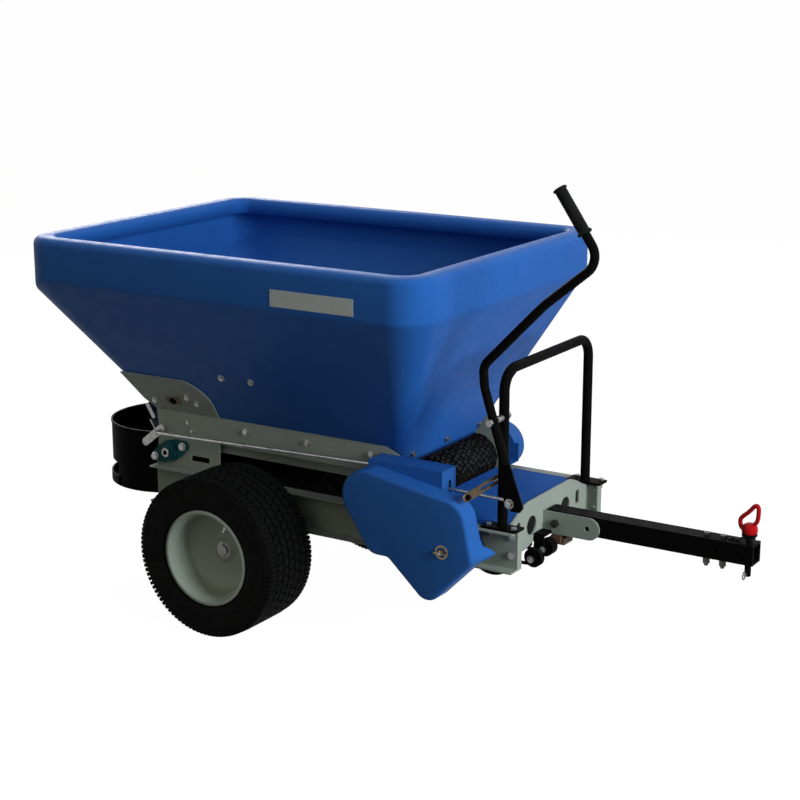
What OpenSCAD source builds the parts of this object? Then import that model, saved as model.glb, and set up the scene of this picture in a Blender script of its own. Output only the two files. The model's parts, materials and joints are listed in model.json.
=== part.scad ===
// Tow-behind compost spreader: an open hopper over a belt conveyor on two wheels.
// Millimetres, Z up, X forward toward the hitch, Y to the left, ground at Z = 0.
// Heights and widths are real ones. X is counted from the axle and shifted once at the end.

/* [Overall] */
// Distance from the axle forward to the front end of the drawbar
drawbar_front_x = 1297; // [1150:1:1450]
// Distance from the axle back to the rear lip of the discharge pan
pan_rear_x = 667; // [600:1:740]
// How far the hitch pin handle stands past the drawbar end
handle_past = 6; // [0:1:20]
// Clearance between parts that rest against each other
gap = 0.4; // [0.2:0.1:1]
// Radial clearance of a shaft that turns in a hole
run = 0.05; // [0.02:0.01:0.1]

/* [Wheels and axle] */
// Outside diameter of the turf tyre
tyre_d = 424; // [400:1:450]
// Width of the tyre
tyre_w = 190; // [170:1:205]
// Distance from the middle of the machine to the inner side of a tyre
tyre_in_y = 298; // [292:1:330]
// Diameter over the wheel rim flange
rim_d = 250; // [235:1:255]
// Diameter of the drive axle
axle_d = 25.4; // [20:0.1:32]
// How deep the wheel disc sits inside the rim
dish = 92; // [60:1:110]

/* [Hopper] */
// Half of the hopper width over the rim band
hop_y = 475; // [440:1:500]
// Front face of the rim band, counted from the axle
hop_front = 632; // [600:1:660]
// Rear face of the rim band, counted back from the axle
hop_rear = 596; // [560:1:620]
// Height of the hopper rim over the ground
hop_top = 994; // [960:1:1010]
// Height of the lower edge of the rim band
band_z = 882; // [860:1:900]
// Height of the lower edge of the band on the rear wall
band_rear_z = 842; // [820:1:880]
// Height of the hopper bottom edge over the belt
hop_low = 450; // [447:1:460]
// Wall thickness of the moulded hopper
wall = 6; // [4:0.5:9]
// Width of the rolled rim
lip_w = 60; // [40:1:75]
// Corner radius of the rim seen from above
hop_r = 90; // [60:1:110]
// Half width of the hopper outlet over the belt
out_y = 190; // [170:1:200]
// Front edge of the outlet, counted from the axle
out_front = 418; // [400:1:430]
// Rear edge of the outlet, counted back from the axle
out_rear = 322; // [300:1:340]

/* [Conveyor] */
// Front roller axis, counted from the axle
roll_x = 411; // [400:1:420]
// Front roller axis height
roll_z = 383; // [375:1:390]
// Rear roller axis, counted back from the axle
tail_x = 302; // [296:1:310]
// Radius of the front roller
roll_r = 56; // [50:0.5:57]
// Radius of the rear roller
tail_r = 44; // [38:0.5:46]
// Thickness of the rough top belt
belt_t = 6; // [4:0.5:7]
// Half width of the belt
belt_y = 204; // [190:1:212]
// Half distance between the outer faces of the side panels
panel_y = 234; // [228:1:238]
// Plate thickness of the side panels and rails
plate_t = 4; // [3:0.5:5]
// Diameter of the roller shafts
shaft_d = 25.4; // [20:0.1:30]

/* [Frame] */
// Top of the side rails over the ground
rail_top = 352; // [345:1:358]
// Bottom of the side rails over the ground
rail_low = 250; // [240:1:256]
// Front end of the side rails, counted from the axle
rail_front = 774; // [762:1:790]
// Rear end of the side rails, counted back from the axle
rail_rear = 354; // [340:1:370]
// Width of the rail flanges
flange_w = 34; // [25:1:40]

/* [Drawbar and hitch] */
// Side of the square drawbar tube
bar_w = 50.8; // [45:0.1:60]
// Wall of the drawbar tube
bar_wall = 5; // [3:0.5:6]
// Height of the underside of the drawbar
bar_low = 297; // [285:1:305]
// Hitch pin position behind the drawbar end
pin_back = 20; // [18:1:40]
// Diameter of the hitch pin
pin_d = 15.8; // [12:0.1:19]
// Height of the deck top over the ground
deck_z = 385; // [375:1:392]

/* [Lever and hoop] */
// Distance of the hoop legs from the middle
hoop_y = 228; // [220:1:236]
// Hoop position in front of the axle
hoop_x = 728; // [715:1:740]
// Height of the hoop top bar axis
hoop_top = 747; // [730:1:770]
// Diameter of the hoop tube
hoop_d = 25.4; // [22:0.1:28]
// Lever plane, counted from the middle to the right hand side
lever_y = 281; // [276:1:286]
// Diameter of the lever tube
lever_d = 22; // [18:0.5:25]

/* [Discharge] */
// Radius of the round shroud
shroud_r = 173; // [160:1:180]
// Axis of the spinner behind the axle
spin_x = 489; // [470:1:500]
// Top of the shroud over the ground
shroud_top = 414; // [400:1:425]
// Bottom of the shroud over the ground
shroud_low = 240; // [230:1:255]

/* [View] */
// Which sub-part is drawn

/* [Hidden] */
$fn = 48;
mid_x = (drawbar_front_x + handle_past - pan_rear_x) / 2;
// axle height on the tyre of usual size; a larger tyre lifts the whole machine by ride
axle_z = 212;
ride = tyre_d / 2 - axle_z;
tyre_out_y = tyre_in_y + tyre_w;
wall_lean = (hop_y - out_y) / (band_z - hop_low);
wall_tilt = atan(wall_lean);
rear_lean = (hop_rear - out_rear) / (band_rear_z - hop_low);
bend_z = hop_low + (panel_y - plate_t - 0.6 - out_y) / wall_lean;
pivot_z = 634;
arm_pin = [775, 436];
gate_hinge = [-400, 534];
gate_pin = [-333, 447];
jack_x = 636;
jack_z = 252;
knob_x = 632;
tail_z = roll_z + roll_r - tail_r;
belt_top = roll_z + roll_r + belt_t + 0.8;
bar_top = bar_low + bar_w;
pin_x = drawbar_front_x - pin_back;
cloth_blue = [0.10, 0.26, 0.56];
frame_grey = [0.62, 0.68, 0.64];
black = [0.06, 0.06, 0.06];
zinc = [0.78, 0.78, 0.76];
gold_zinc = [0.72, 0.62, 0.42];
rubber = [0.09, 0.09, 0.09];
teal = [0.05, 0.35, 0.35];
red = [0.80, 0.08, 0.08];
steel = [0.55, 0.55, 0.55];
pale = [0.86, 0.89, 0.84];
bronze = [0.45, 0.34, 0.27];

module place() {
  translate([-mid_x, 0, ride]) children();
}

// A bar along Y from y0 to y1 at x, z
module ybar(x, z, d, y0, y1) {
  translate([x, y1, z]) rotate([90, 0, 0]) cylinder(d = d, h = y1 - y0);
}

// A bar along X from x0 to x1 at y, z
module xbar(y, z, d, x0, x1) {
  translate([x0, y, z]) rotate([0, 90, 0]) cylinder(d = d, h = x1 - x0);
}

// A block between two opposite corners
module box(a, b) {
  translate(a) cube(b - a);
}

// A flat shape drawn in X and Z, standing from y0 to y1
module standing(y0, y1) {
  translate([0, y1, 0]) rotate([90, 0, 0]) linear_extrude(y1 - y0) children();
}

// A flat shape drawn in Y and Z, standing from x0 to x1
module facing(x0, x1) {
  translate([x0, 0, 0]) rotate([90, 0, 90]) linear_extrude(x1 - x0) children();
}

// Hexagon bolt head along Y at x, z
module hex_y(x, z, af, y0, y1) {
  translate([x, y1, z]) rotate([90, 0, 0]) cylinder(d = af / cos(30), h = y1 - y0, $fn = 6);
}

// Hexagon bolt head along Z at x, y
module hex_z(x, y, af, z0, z1) {
  translate([x, y, z0]) cylinder(d = af / cos(30), h = z1 - z0, $fn = 6);
}

// Rounded rectangle seen from above
module plan_round(x0, x1, hy, r) {
  translate([x0 + r, -hy]) square([x1 - x0 - 2 * r, 2 * hy]);
  translate([x0, -hy + r]) square([x1 - x0, 2 * hy - 2 * r]);
  for (x = [x0 + r, x1 - r], y = [-hy + r, hy - r]) translate([x, y]) circle(r);
}

// Slot shape between two points
module stadium(a, b, r) {
  d = b - a;
  translate(a) rotate(atan2(d[1], d[0])) {
    circle(r);
    translate([norm(d), 0]) circle(r);
    translate([0, -r]) square([norm(d), 2 * r]);
  }
}

function unit(v) = v / norm(v);

function bend_reach(a, p, b, r) = r / tan(acos(unit(a - p) * unit(b - p)) / 2);

// Round bar of diameter d along a path in X and Z at one y, bent with the radii in r
module bent_bar(path, d, r, y) {
  n = len(path);
  for (i = [0 : n - 2]) {
    u = unit(path[i + 1] - path[i]);
    s0 = i == 0 ? 0 : bend_reach(path[i - 1], path[i], path[i + 1], r[i]);
    s1 = i == n - 2 ? 0 : bend_reach(path[i], path[i + 1], path[i + 2], r[i + 1]);
    a = path[i] + s0 * u;
    translate([a[0], y, a[1]]) rotate([0, atan2(u[0], u[1]), 0]) cylinder(d = d, h = norm(path[i + 1] - path[i]) - s0 - s1);
  }
  for (i = [1 : n - 2]) {
    u = unit(path[i - 1] - path[i]);
    v = unit(path[i + 1] - path[i]);
    half = acos(u * v) / 2;
    c = path[i] + unit(u + v) * r[i] / sin(half);
    m = atan2(path[i][1] - c[1], path[i][0] - c[0]);
    translate([c[0], y, c[1]]) rotate([90, 0, 0]) rotate([0, 0, m - 90.3 + half])
      rotate_extrude(angle = 180.6 - 2 * half) translate([r[i], 0]) circle(d = d - 0.24);
  }
}

function arc(cx, cz, r, a0, a1, n = 10) =
  [for (i = [0 : n]) [cx + r * cos(a0 + (a1 - a0) * i / n), cz + r * sin(a0 + (a1 - a0) * i / n)]];

// Wheel section placed about the axle, y counted from the outer side inward
module about_axle(side) {
  translate([0, side * tyre_out_y, axle_z]) rotate([side * 90, 0, 0]) children();
}

module tyre_section() {
  bead = rim_d / 2 + 6;
  // shoulder radius, no more than the side wall has room for
  rs = min(34, tyre_d / 2 - bead - 16);
  difference() {
    union() {
      translate([bead + 14, 0]) square([tyre_d / 2 - rs - bead - 14, tyre_w]);
      translate([bead + 14, rs]) square([tyre_d / 2 - bead - 14, tyre_w - 2 * rs]);
      for (y = [rs, tyre_w - rs]) translate([tyre_d / 2 - rs, y]) circle(rs);
      for (y = [14, tyre_w - 14]) translate([bead + 14, y]) circle(14);
      // bead legs between the rim flanges
      for (y = [13, tyre_w - 27]) translate([rim_d / 2 - 13.5, y]) square([34, 14]);
    }
    translate([bead + 14, 14]) square([tyre_d / 2 - 20 - bead - 14, tyre_w - 28]);
    translate([rim_d / 2 - 20, 27]) square([60, tyre_w - 54]);
    for (y = [44, 78, tyre_w - 78, tyre_w - 44]) translate([tyre_d / 2 - 6, y - 3]) square([12, 6]);
  }
}

module tyre(side) {
  color(rubber) place() about_axle(side) rotate_extrude($fn = 72) tyre_section();
}

module tyre_right() {
  tyre(-1);
}

module tyre_left() {
  tyre(1);
}

module wheel_section(bore) {
  rb = rim_d / 2 - 14;
  // barrel with a turned flange at each side
  translate([rb - 4, 12]) square([4, tyre_w - 24]);
  for (y = [6, tyre_w - 10]) translate([rb - 4, y]) square([rim_d / 2 - rb + 4, 4]);
  for (y = [8, tyre_w - 8]) translate([rim_d / 2, y]) circle(3);
  translate([rb - 4, 8]) square([4, 10]);
  translate([rb - 4, tyre_w - 18]) square([4, 10]);
  // dished disc and long hub
  polygon([[26, dish + 4], [60, dish + 4], [rb - 3, dish - 10], [rb - 3, dish - 5], [60, dish + 9], [26, dish + 9]]);
  translate([bore / 2, dish - 4]) square([30 - bore / 2, tyre_w - dish - 2]);
}

module wheel(side, bore) {
  color(frame_grey) place() difference() {
    about_axle(side) rotate_extrude($fn = 72) wheel_section(bore);
    // valve hole through the barrel
    translate([side > 0 ? 0 : 0, side * (tyre_out_y - 34), axle_z]) rotate([0, -60, 0])
      translate([rim_d / 2 - 24, 0, 0]) rotate([0, 90, 0]) cylinder(d = 11, h = 16);
  }
}

module wheel_right() {
  wheel(-1, axle_d + 0.04);
}

module wheel_left() {
  wheel(1, axle_d + 2 * run);
}

module drive_axle() {
  color(steel) place() difference() {
    ybar(0, axle_z, axle_d, -(tyre_out_y - dish + 12), tyre_out_y - dish + 12);
    for (s = [-1, 1]) translate([0, s * (tyre_out_y - dish + 8), axle_z])
      cylinder(d = 4, h = 40, center = true);
  }
}

module axle_end_caps() {
  // washer and split pin at each axle end
  color(zinc) place() for (s = [-1, 1]) {
    y0 = tyre_out_y - dish + 4.4;
    difference() {
      ybar(0, axle_z, 42, s > 0 ? y0 : -y0 - 1.6, s > 0 ? y0 + 1.6 : -y0);
      ybar(0, axle_z, axle_d + 0.6, -600, 600);
    }
    translate([0, s * (y0 + 3.8), axle_z]) cylinder(d = 3.4, h = 36, center = true);
  }
}

module valve(s) {
  color(rubber) place() translate([0, s * (tyre_out_y - 34), axle_z]) rotate([0, -60, 0]) {
    translate([rim_d / 2 - 44, 0, 0]) rotate([0, 90, 0]) cylinder(d = 7, h = 20);
    translate([rim_d / 2 - 34, 0, 0]) rotate([0, 90, 0]) cylinder(d = 10.4, h = 24);
  }
}

module valve_right() {
  valve(-1);
}

module valve_left() {
  valve(1);
}

module axle_bearings() {
  color(black) place() for (s = [-1, 1]) difference() {
    union() {
      box([-52, s > 0 ? panel_y - 2 : -panel_y - 30, rail_low - 12 - gap], [52, s > 0 ? panel_y + 30 : -panel_y + 2, rail_low - gap]);
      box([-26, s > 0 ? panel_y - 2 : -panel_y - 30, axle_z], [26, s > 0 ? panel_y + 30 : -panel_y + 2, rail_low - 8]);
      ybar(0, axle_z, 56, s > 0 ? panel_y - 2 : -panel_y - 30, s > 0 ? panel_y + 30 : -panel_y + 2);
    }
    ybar(0, axle_z, axle_d + 2 * run, -400, 400);
    for (x = [-40, 40]) translate([x, s * (panel_y + 14), rail_low - 30]) cylinder(d = 9, h = 40);
  }
}

// Toothed wheel about Y with n teeth for a 12.7 mm chain
module sprocket(x, z, n, y0, y1, bore) {
  pr = 12.7 / 2 / sin(180 / n);
  difference() {
    translate([x, y1, z]) rotate([90, 0, 0]) linear_extrude(y1 - y0) difference() {
      circle(pr + 3);
      for (i = [0 : n - 1]) rotate(360 / n * i) translate([pr + 1.2, 0]) circle(4.3, $fn = 16);
    }
    ybar(x, z, bore, y0 - 1, y1 + 1);
  }
}

module axle_sprocket() {
  color(steel) place() difference() {
    union() {
      sprocket(0, axle_z, 22, 276, 282, 20);
      ybar(0, axle_z, 44, panel_y + 32, 276);
    }
    ybar(0, axle_z, axle_d + 0.04, 200, 300);
  }
}

// One side rail: web with both flanges outward and a closed front end
module rail(s) {
  w0 = panel_y - plate_t;
  scale([1, s, 1]) {
    box([-rail_rear, w0, rail_low], [rail_front, panel_y, rail_top - gap]);
    box([-rail_rear, w0, rail_low], [rail_front, panel_y + flange_w, rail_low + plate_t]);
    box([-rail_rear, w0, rail_top - plate_t - gap], [rail_front, panel_y + flange_w, rail_top - gap]);
    box([rail_front - 4, w0 - 18, rail_low], [rail_front, panel_y, rail_top - gap]);
  }
}

module chassis_frame() {
  w = panel_y - plate_t + 1;
  color(frame_grey) place() difference() {
    union() {
      rail(1);
      rail(-1);
      // cross tubes
      for (x = [-300, -60, 220, 500]) difference() {
        box([x - 20, -w, rail_low + 2], [x + 20, w, rail_low + 42]);
        box([x - 17, -w - 1, rail_low + 5], [x + 17, w + 1, rail_low + 39]);
      }
      // rear shelf that carries the discharge
      box([-rail_rear - 44, -150, rail_low + 2], [-rail_rear + 60, -110, rail_low + 8]);
      box([-rail_rear - 44, 110, rail_low + 2], [-rail_rear + 60, 150, rail_low + 8]);
    }
    // holes of the front plate bolts, the rail bolts and the axle bearings
    for (s = [-1, 1], p = rail_bolts) ybar(p[0], p[1], 10.5, s > 0 ? 200 : -250, s > 0 ? 250 : -200);
    for (s = [-1, 1], x = [-40, 40]) translate([x, s * (panel_y + 14), rail_low - 5]) cylinder(d = 9, h = 20);
    // passages of the spinner shaft, the jackshaft and the guard stud
    xbar(0, jack_z, 26, -360, 540);
    ybar(jack_x, jack_z, 34, -280, -220);
    ybar(knob_x, 309, 9, -280, -220);
    for (s = [-1, 1], x = foot_bolts) translate([x, s * foot_y, rail_top - 20]) cylinder(d = 9, h = 40);
  }
}

rail_bolts = [[760, 289], [760, 335], [695, 335]];
foot_bolts = [698, 768];
foot_y = 243;
panel_marks = [[-335, 542], [-210, 568], [-185, 552]];
strip_marks = [-46, 152, 351];
bearing_tilt = 22.6;
bearing_reach = 52;

// Outline of the upright part of a side panel, X and Z
module panel_outline() {
  polygon([[-354, rail_top], [-136, rail_top], [-136, 437], [330, 437], [346, 352],
    [482, 352], [482, 430], [440, 490], [392, bend_z], [-349, bend_z], [-342, 452]]);
}

// Outline of the part that leans on the hopper wall, X and height along the slope
module lean_outline() {
  k = 1 / cos(wall_tilt);
  polygon([[-349, -0.5], [-349, 4], [-376, (540 - bend_z) * k], [-414, (618 - bend_z) * k], [-202, (620 - bend_z) * k],
    [-186, (616 - bend_z) * k], [-168, (606 - bend_z) * k], [-150, (592 - bend_z) * k], [-138, (573 - bend_z) * k],
    [-134, (552 - bend_z) * k], [-136, -0.5]]);
}

module side_panel(s) {
  color(frame_grey) place() scale([1, s, 1]) difference() {
    union() {
      standing(panel_y - plate_t, panel_y) panel_outline();
      translate([0, panel_y - plate_t, bend_z]) rotate([90 - wall_tilt, 0, 0])
        translate([0, 0, -plate_t]) linear_extrude(plate_t) lean_outline();
    }
    // shaft holes, bearing bolt holes and the slot for the tensioner
    for (p = [[-tail_x, tail_z, bearing_tilt], [roll_x, roll_z, 0]]) {
      ybar(p[0], p[1], 44, 200, 250);
      for (a = [-bearing_reach, bearing_reach]) ybar(p[0] + a * cos(p[2]), p[1] + a * sin(p[2]), 11, 200, 250);
    }
    box([-233, 200, 376], [-172, 250, 391]);
    for (x = strip_marks) ybar(x, 484, 9, 200, 250);
    for (p = panel_marks) side_bolt_axis(1, p[0], p[1]) cylinder(d = 9, h = 40, center = true);
  }
}

module side_panel_right() {
  side_panel(-1);
}

module side_panel_left() {
  side_panel(1);
}

module hopper_outer(o) {
  hull() {
    translate([0, 0, band_z]) linear_extrude(hop_top - band_z - 12)
      plan_round(-hop_rear + o, hop_front - o, hop_y - o, hop_r - o);
    translate([-hop_rear + o, -hop_y + hop_r + 10, band_rear_z]) cube([4, 2 * (hop_y - hop_r - 10), 20]);
    translate([0, 0, hop_low - (o > 0 ? 3 : 0)]) linear_extrude(1) plan_round(-out_rear + o, out_front - o, out_y - o, 24 - o);
  }
}

module hopper() {
  color(cloth_blue) place() difference() {
    union() {
      difference() {
        hopper_outer(0);
        hopper_outer(wall);
      }
      // rolled rim: top, outer rounding steps and the inner skirt
      difference() {
        union() {
          translate([0, 0, hop_top - 13]) linear_extrude(5) plan_round(-hop_rear, hop_front, hop_y, hop_r);
          translate([0, 0, hop_top - 8]) linear_extrude(4) plan_round(-hop_rear + 3, hop_front - 3, hop_y - 3, hop_r - 3);
          translate([0, 0, hop_top - 4]) linear_extrude(4) plan_round(-hop_rear + 8, hop_front - 8, hop_y - 8, hop_r - 8);
          translate([0, 0, hop_top - 46]) linear_extrude(44)
            plan_round(-hop_rear + lip_w - 6, hop_front - lip_w + 6, hop_y - lip_w + 6, hop_r - lip_w + 16);
        }
        translate([0, 0, hop_top - 50]) linear_extrude(60)
          plan_round(-hop_rear + lip_w, hop_front - lip_w, hop_y - lip_w, hop_r - lip_w + 10);
        translate([0, 0, hop_top - 30]) linear_extrude(24) difference() {
          plan_round(-hop_rear + wall, hop_front - wall, hop_y - wall, hop_r - wall);
          plan_round(-hop_rear + lip_w - 6, hop_front - lip_w + 6, hop_y - lip_w + 6, hop_r - lip_w + 16);
        }
      }
    }
    // outlet in the rear wall over the belt
    box([-out_rear - 70, -165, hop_low - 10], [-out_rear + 20, 165, hop_low + 62]);
    // bolt holes in the front wall and the side walls
    for (y = [-172, 0, 172]) front_bolt_axis(y) cylinder(d = 8.4, h = 30, center = true);
    for (s = [-1, 1], x = [-54, 41]) side_bolt_axis(s, x, 650) cylinder(d = 8.4, h = 30, center = true);
    for (s = [-1, 1], p = panel_marks) side_bolt_axis(s, p[0], p[1]) cylinder(d = 8.4, h = 40, center = true);
  }
}

// Axis through the front wall at height 482
module front_bolt_axis(y) {
  lean = (hop_front - out_front) / (band_z - hop_low);
  translate([out_front + lean * (482 - hop_low), y, 482]) rotate([0, 90 + atan(lean), 0]) children();
}

// Axis through a side wall, pointing outward
module side_bolt_axis(s, x, z) {
  translate([x, s * (out_y + wall_lean * (z - hop_low)), z]) rotate([-s * (90 + wall_tilt), 0, 0]) children();
}

// Round washer, hexagon head and shank of a bolt along its axis, head outward
module wall_bolt(skip, d) {
  translate([0, 0, skip]) cylinder(d = 2.4 * d, h = 1.6);
  translate([0, 0, skip + 1.6]) cylinder(d = 1.7 * d / cos(30), h = 0.65 * d, $fn = 6);
  translate([0, 0, -16]) cylinder(d = d, h = 16 + skip + 1);
  translate([0, 0, -wall - 7]) cylinder(d = 1.7 * d / cos(30), h = 6.4, $fn = 6);
}

// Bolt through a standing plate, head outside at y0
module plate_bolt(x, z, d, y0, deep) {
  hex_y(x, z, 1.7 * d, y0 + 1.6, y0 + 1.6 + 0.65 * d);
  ybar(x, z, 2.3 * d, y0, y0 + 1.6);
  ybar(x, z, d, y0 - deep, y0 + 2);
}

module frame_bolts() {
  color(zinc) place() {
    for (y = [-172, 0, 172]) front_bolt_axis(y) wall_bolt(0.4, 8);
    for (s = [-1, 1]) {
      for (x = [-54, 41]) side_bolt_axis(s, x, 650) wall_bolt(0.4, 8);
      for (p = panel_marks) side_bolt_axis(s, p[0], p[1]) wall_bolt(4.9, 8);
      scale([1, s, 1]) {
        for (x = strip_marks) plate_bolt(x, 484, 8, panel_y + gap, 14);
        for (p = rail_bolts) plate_bolt(p[0], p[1], p[1] < 300 ? 10 : 8, panel_y + gap, 11);
        for (p = [[-tail_x, tail_z, bearing_tilt], [roll_x, roll_z, 0]], a = [-bearing_reach, bearing_reach])
          plate_bolt(p[0] + a * cos(p[2]), p[1] + a * sin(p[2]), 10, panel_y + 10 + gap, 20);
        if (s < 0) {
          translate([hoop_x - 25, hoop_y, 473]) rotate([0, 90, 0]) cylinder(d = 13 / cos(30), h = 7, $fn = 6);
          xbar(hoop_y, 473, 8, hoop_x - 19, hoop_x - 13);
        }
        for (x = foot_bolts) {
          hex_z(x, foot_y, 13, rail_top + 6 + gap, rail_top + 12);
          translate([x, foot_y, rail_top - 14]) cylinder(d = 8, h = 21);
        }
        for (x = [-40, 40]) {
          hex_z(x, panel_y + 14, 13, rail_low + plate_t + gap, rail_low + plate_t + 7);
          translate([x, panel_y + 14, rail_low - 20]) cylinder(d = 8, h = 25);
          hex_z(x, panel_y + 14, 13, rail_low - 20, rail_low - 12 - 2 * gap);
        }
      }
    }
  }
}

module name_plate() {
  // bare pale plate on the right side of the rim band
  color(pale) place() standing(-hop_y - 1.4, -hop_y - gap) difference() {
    translate([217, band_z + 11]) square([240, 42]);
    for (x = [223, 451], z = [band_z + 17, band_z + 47]) translate([x, z]) circle(1.5, $fn = 16);
  }
}

// Closed loop round two circles of different size, X and Z, n steps per arc
module loop_shape(a, ra, b, rb, n) {
  d = b - a;
  ang = atan2(d[1], d[0]);
  off = asin((ra - rb) / norm(d));
  polygon(concat(arc(a[0], a[1], ra, ang + 90 - off, ang + 270 + off, n), arc(b[0], b[1], rb, ang - 90 + off, ang + 90 - off, n)));
}

module conveyor_belt() {
  color(rubber) place() standing(-belt_y, belt_y) difference() {
    loop_shape([-tail_x, tail_z], tail_r + belt_t + 0.8, [roll_x, roll_z], roll_r + belt_t + 0.8, 28);
    loop_shape([-tail_x, tail_z], tail_r + 0.8, [roll_x, roll_z], roll_r + 0.8, 28);
  }
}

module belt_bed() {
  // slider bed under the loaded run, carried by cross channels between the panels
  z = roll_z + roll_r - 2;
  color(frame_grey) place() difference() {
    union() {
      box([-tail_x + 52, -belt_y + 4, z - 4], [roll_x - 66, belt_y - 4, z]);
      for (x = [-200, 40, 330]) box([x - 14, -belt_y - 4, z - 30], [x + 14, belt_y + 4, z - 3]);
      for (x = [-200, 330], s = [-1, 1]) box([x - 14, s > 0 ? 200 : -panel_y + plate_t + gap, z - 30], [x + 14, s > 0 ? panel_y - plate_t - gap : -200, z - 26]);
      box([-214, -belt_y - 8, z - 30], [344, -belt_y - 4, z - 4]);
      box([-214, belt_y + 4, z - 30], [344, belt_y + 8, z - 4]);
    }
    for (x = [-200, 40, 330]) box([x - 11, -belt_y - 3, z - 27], [x + 11, belt_y + 3, z - 6]);
  }
}

module front_roller() {
  color(steel) place() {
    ybar(roll_x, roll_z, 2 * roll_r, -belt_y - 3, belt_y + 3);
    ybar(roll_x, roll_z, shaft_d, -348, 346);
  }
}

module rear_roller() {
  color(steel) place() {
    ybar(-tail_x, tail_z, 2 * tail_r, -belt_y - 3, belt_y + 3);
    ybar(-tail_x, tail_z, shaft_d, -panel_y - 26, panel_y + 26);
  }
}

// Two-bolt flange bearing on the outer face of a panel
module flange_bearing(x, z, s, tilt) {
  scale([1, s, 1]) difference() {
    union() {
      standing(panel_y + gap, panel_y + 10) translate([x, z]) rotate(tilt) {
        circle(30);
        for (a = [-bearing_reach, bearing_reach]) translate([a, 0]) circle(14);
        polygon([[-57, 12], [-28, 26], [28, 26], [57, 12], [57, -12], [28, -26], [-28, -26], [-57, -12]]);
      }
      ybar(x, z, 56, panel_y + 8, panel_y + 16);
      ybar(x, z, 40, panel_y + 8, panel_y + 22);
    }
    ybar(x, z, shaft_d + 2 * run, 200, 300);
    for (a = [-bearing_reach, bearing_reach]) ybar(x + a * cos(tilt), z + a * sin(tilt), 11, 200, 300);
  }
}

module roller_bearings() {
  color(teal) place() for (s = [-1, 1]) {
    flange_bearing(-tail_x, tail_z, s, bearing_tilt);
    flange_bearing(roll_x, roll_z, s, 0);
  }
}

// Outline of the chain guard face, X and Z; t shrinks it
module guard_outline(t) {
  polygon(concat(
    arc(411, 409, 72 - t, 200, 80, 16),
    arc(636, 382, 60 - t, 79, 10, 10),
    arc(693, 297, 22 - t, 8, -42, 6),
    arc(588, 213, 38 - t, -44, -137, 12),
    [[478, 262 + 1.2 * t], [470, 266 + t]],
    arc(442, 305, 39 - t, -88, -148, 8)));
}

module chain_guard() {
  color(cloth_blue) place() difference() {
    union() {
      difference() {
        standing(-358, -300 - gap) guard_outline(0);
        standing(-355, -290) guard_outline(3);
      }
      // lug toward the rail at the lower front corner
      standing(-302, -panel_y - flange_w - 1) polygon([[706, 286], [716, 286], [746, 305], [712, 318]]);
      standing(-355, -302) polygon([[700, 290], [712, 290], [712, 314], [700, 314]]);
    }
    ybar(knob_x, 309, 11, -370, -340);
  }
}

module guard_box() {
  // inner half of the guard, open below and toward the panel
  color(cloth_blue) place() difference() {
    union() {
      box([383, -300, 300], [598, -panel_y - gap, 492]);
    }
    box([386, -297, 290], [595, -panel_y + 5, 489]);
    // slots for the control rod and the roller shaft
    box([590, -268, 424], [600, -256, 462]);
    box([380, -268, 424], [390, -256, 492.5]);
    ybar(roll_x, roll_z, 46, -310, -280);
    // room for the rail flange and the roller bearing
    box([380, -269.5, 290], [600, -230, rail_top + gap]);
    box([378, -260, 340], [390, -230, 414]);
    // sprockets and chain reach the guard through an open window
    standing(-310, -290) guard_outline(20);
  }
}

module guard_fastening() {
  // stud with a wing nut and a large washer
  color(gold_zinc) place() {
    ybar(knob_x, 309, 8, -374, -panel_y + plate_t + 6);
    hex_y(knob_x, 309, 14, -panel_y - 8, -panel_y - gap);
    difference() {
      union() {
        ybar(knob_x, 309, 30, -361, -358 - gap);
        ybar(knob_x, 309, 15, -371, -360);
        standing(-369, -365) translate([knob_x, 309]) rotate(10) polygon([[-19, -5], [-15, 7], [0, 5], [15, 7], [19, -5], [0, -6]]);
      }
      ybar(knob_x, 309, 8.4, -380, -350);
    }
  }
}

module roller_sprocket() {
  color(steel) place() difference() {
    union() {
      sprocket(roll_x, roll_z, 22, -334, -328, 20);
      ybar(roll_x, roll_z, 42, -328, -306);
    }
    ybar(roll_x, roll_z, shaft_d + 0.04, -400, -300);
  }
}

module jack_sprocket() {
  color(steel) place() difference() {
    union() {
      sprocket(jack_x, jack_z, 11, -334, -328, 15);
      ybar(jack_x, jack_z, 30, -328, -306);
    }
    ybar(jack_x, jack_z, 20.04, -400, -300);
  }
}

// Chain round two sprockets as a closed strap of links
module chain_loop(a, ra, b, rb, y0, y1) {
  standing(y0, y1) difference() {
    loop_shape(a, ra + 4, b, rb + 4, 18);
    loop_shape(a, ra - 4, b, rb - 4, 18);
  }
}

module drive_chain() {
  color(black) place() difference() {
    chain_loop([roll_x, roll_z], 44.6, [jack_x, jack_z], 22.5, -336.5, -325.5);
    // the sprockets run in the middle of the links
    standing(-334.4, -327.6) {
      translate([roll_x, roll_z]) circle(49);
      translate([jack_x, jack_z]) circle(27);
    }
  }
}

module far_cover() {
  // round cover over the left end of the front roller with its post on the rail
  color(cloth_blue) place() difference() {
    union() {
      ybar(roll_x, roll_z, 128, 304, 358);
      box([roll_x + 40, 304, rail_top + gap], [roll_x + 75, 307, roll_z + 20]);
      box([roll_x + 47, panel_y + 2, rail_top + gap], [roll_x + 75, 307, rail_top + 3.4]);
    }
    ybar(roll_x, roll_z, 122, 307, 355);
    ybar(roll_x, roll_z, 46, 300, 320);
  }
}

module far_sprocket() {
  color(steel) place() difference() {
    union() {
      sprocket(roll_x, roll_z, 18, 276, 282, 15);
      ybar(roll_x, roll_z, 40, 281, 300);
    }
    ybar(roll_x, roll_z, shaft_d + 0.04, 200, 400);
  }
}

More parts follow.
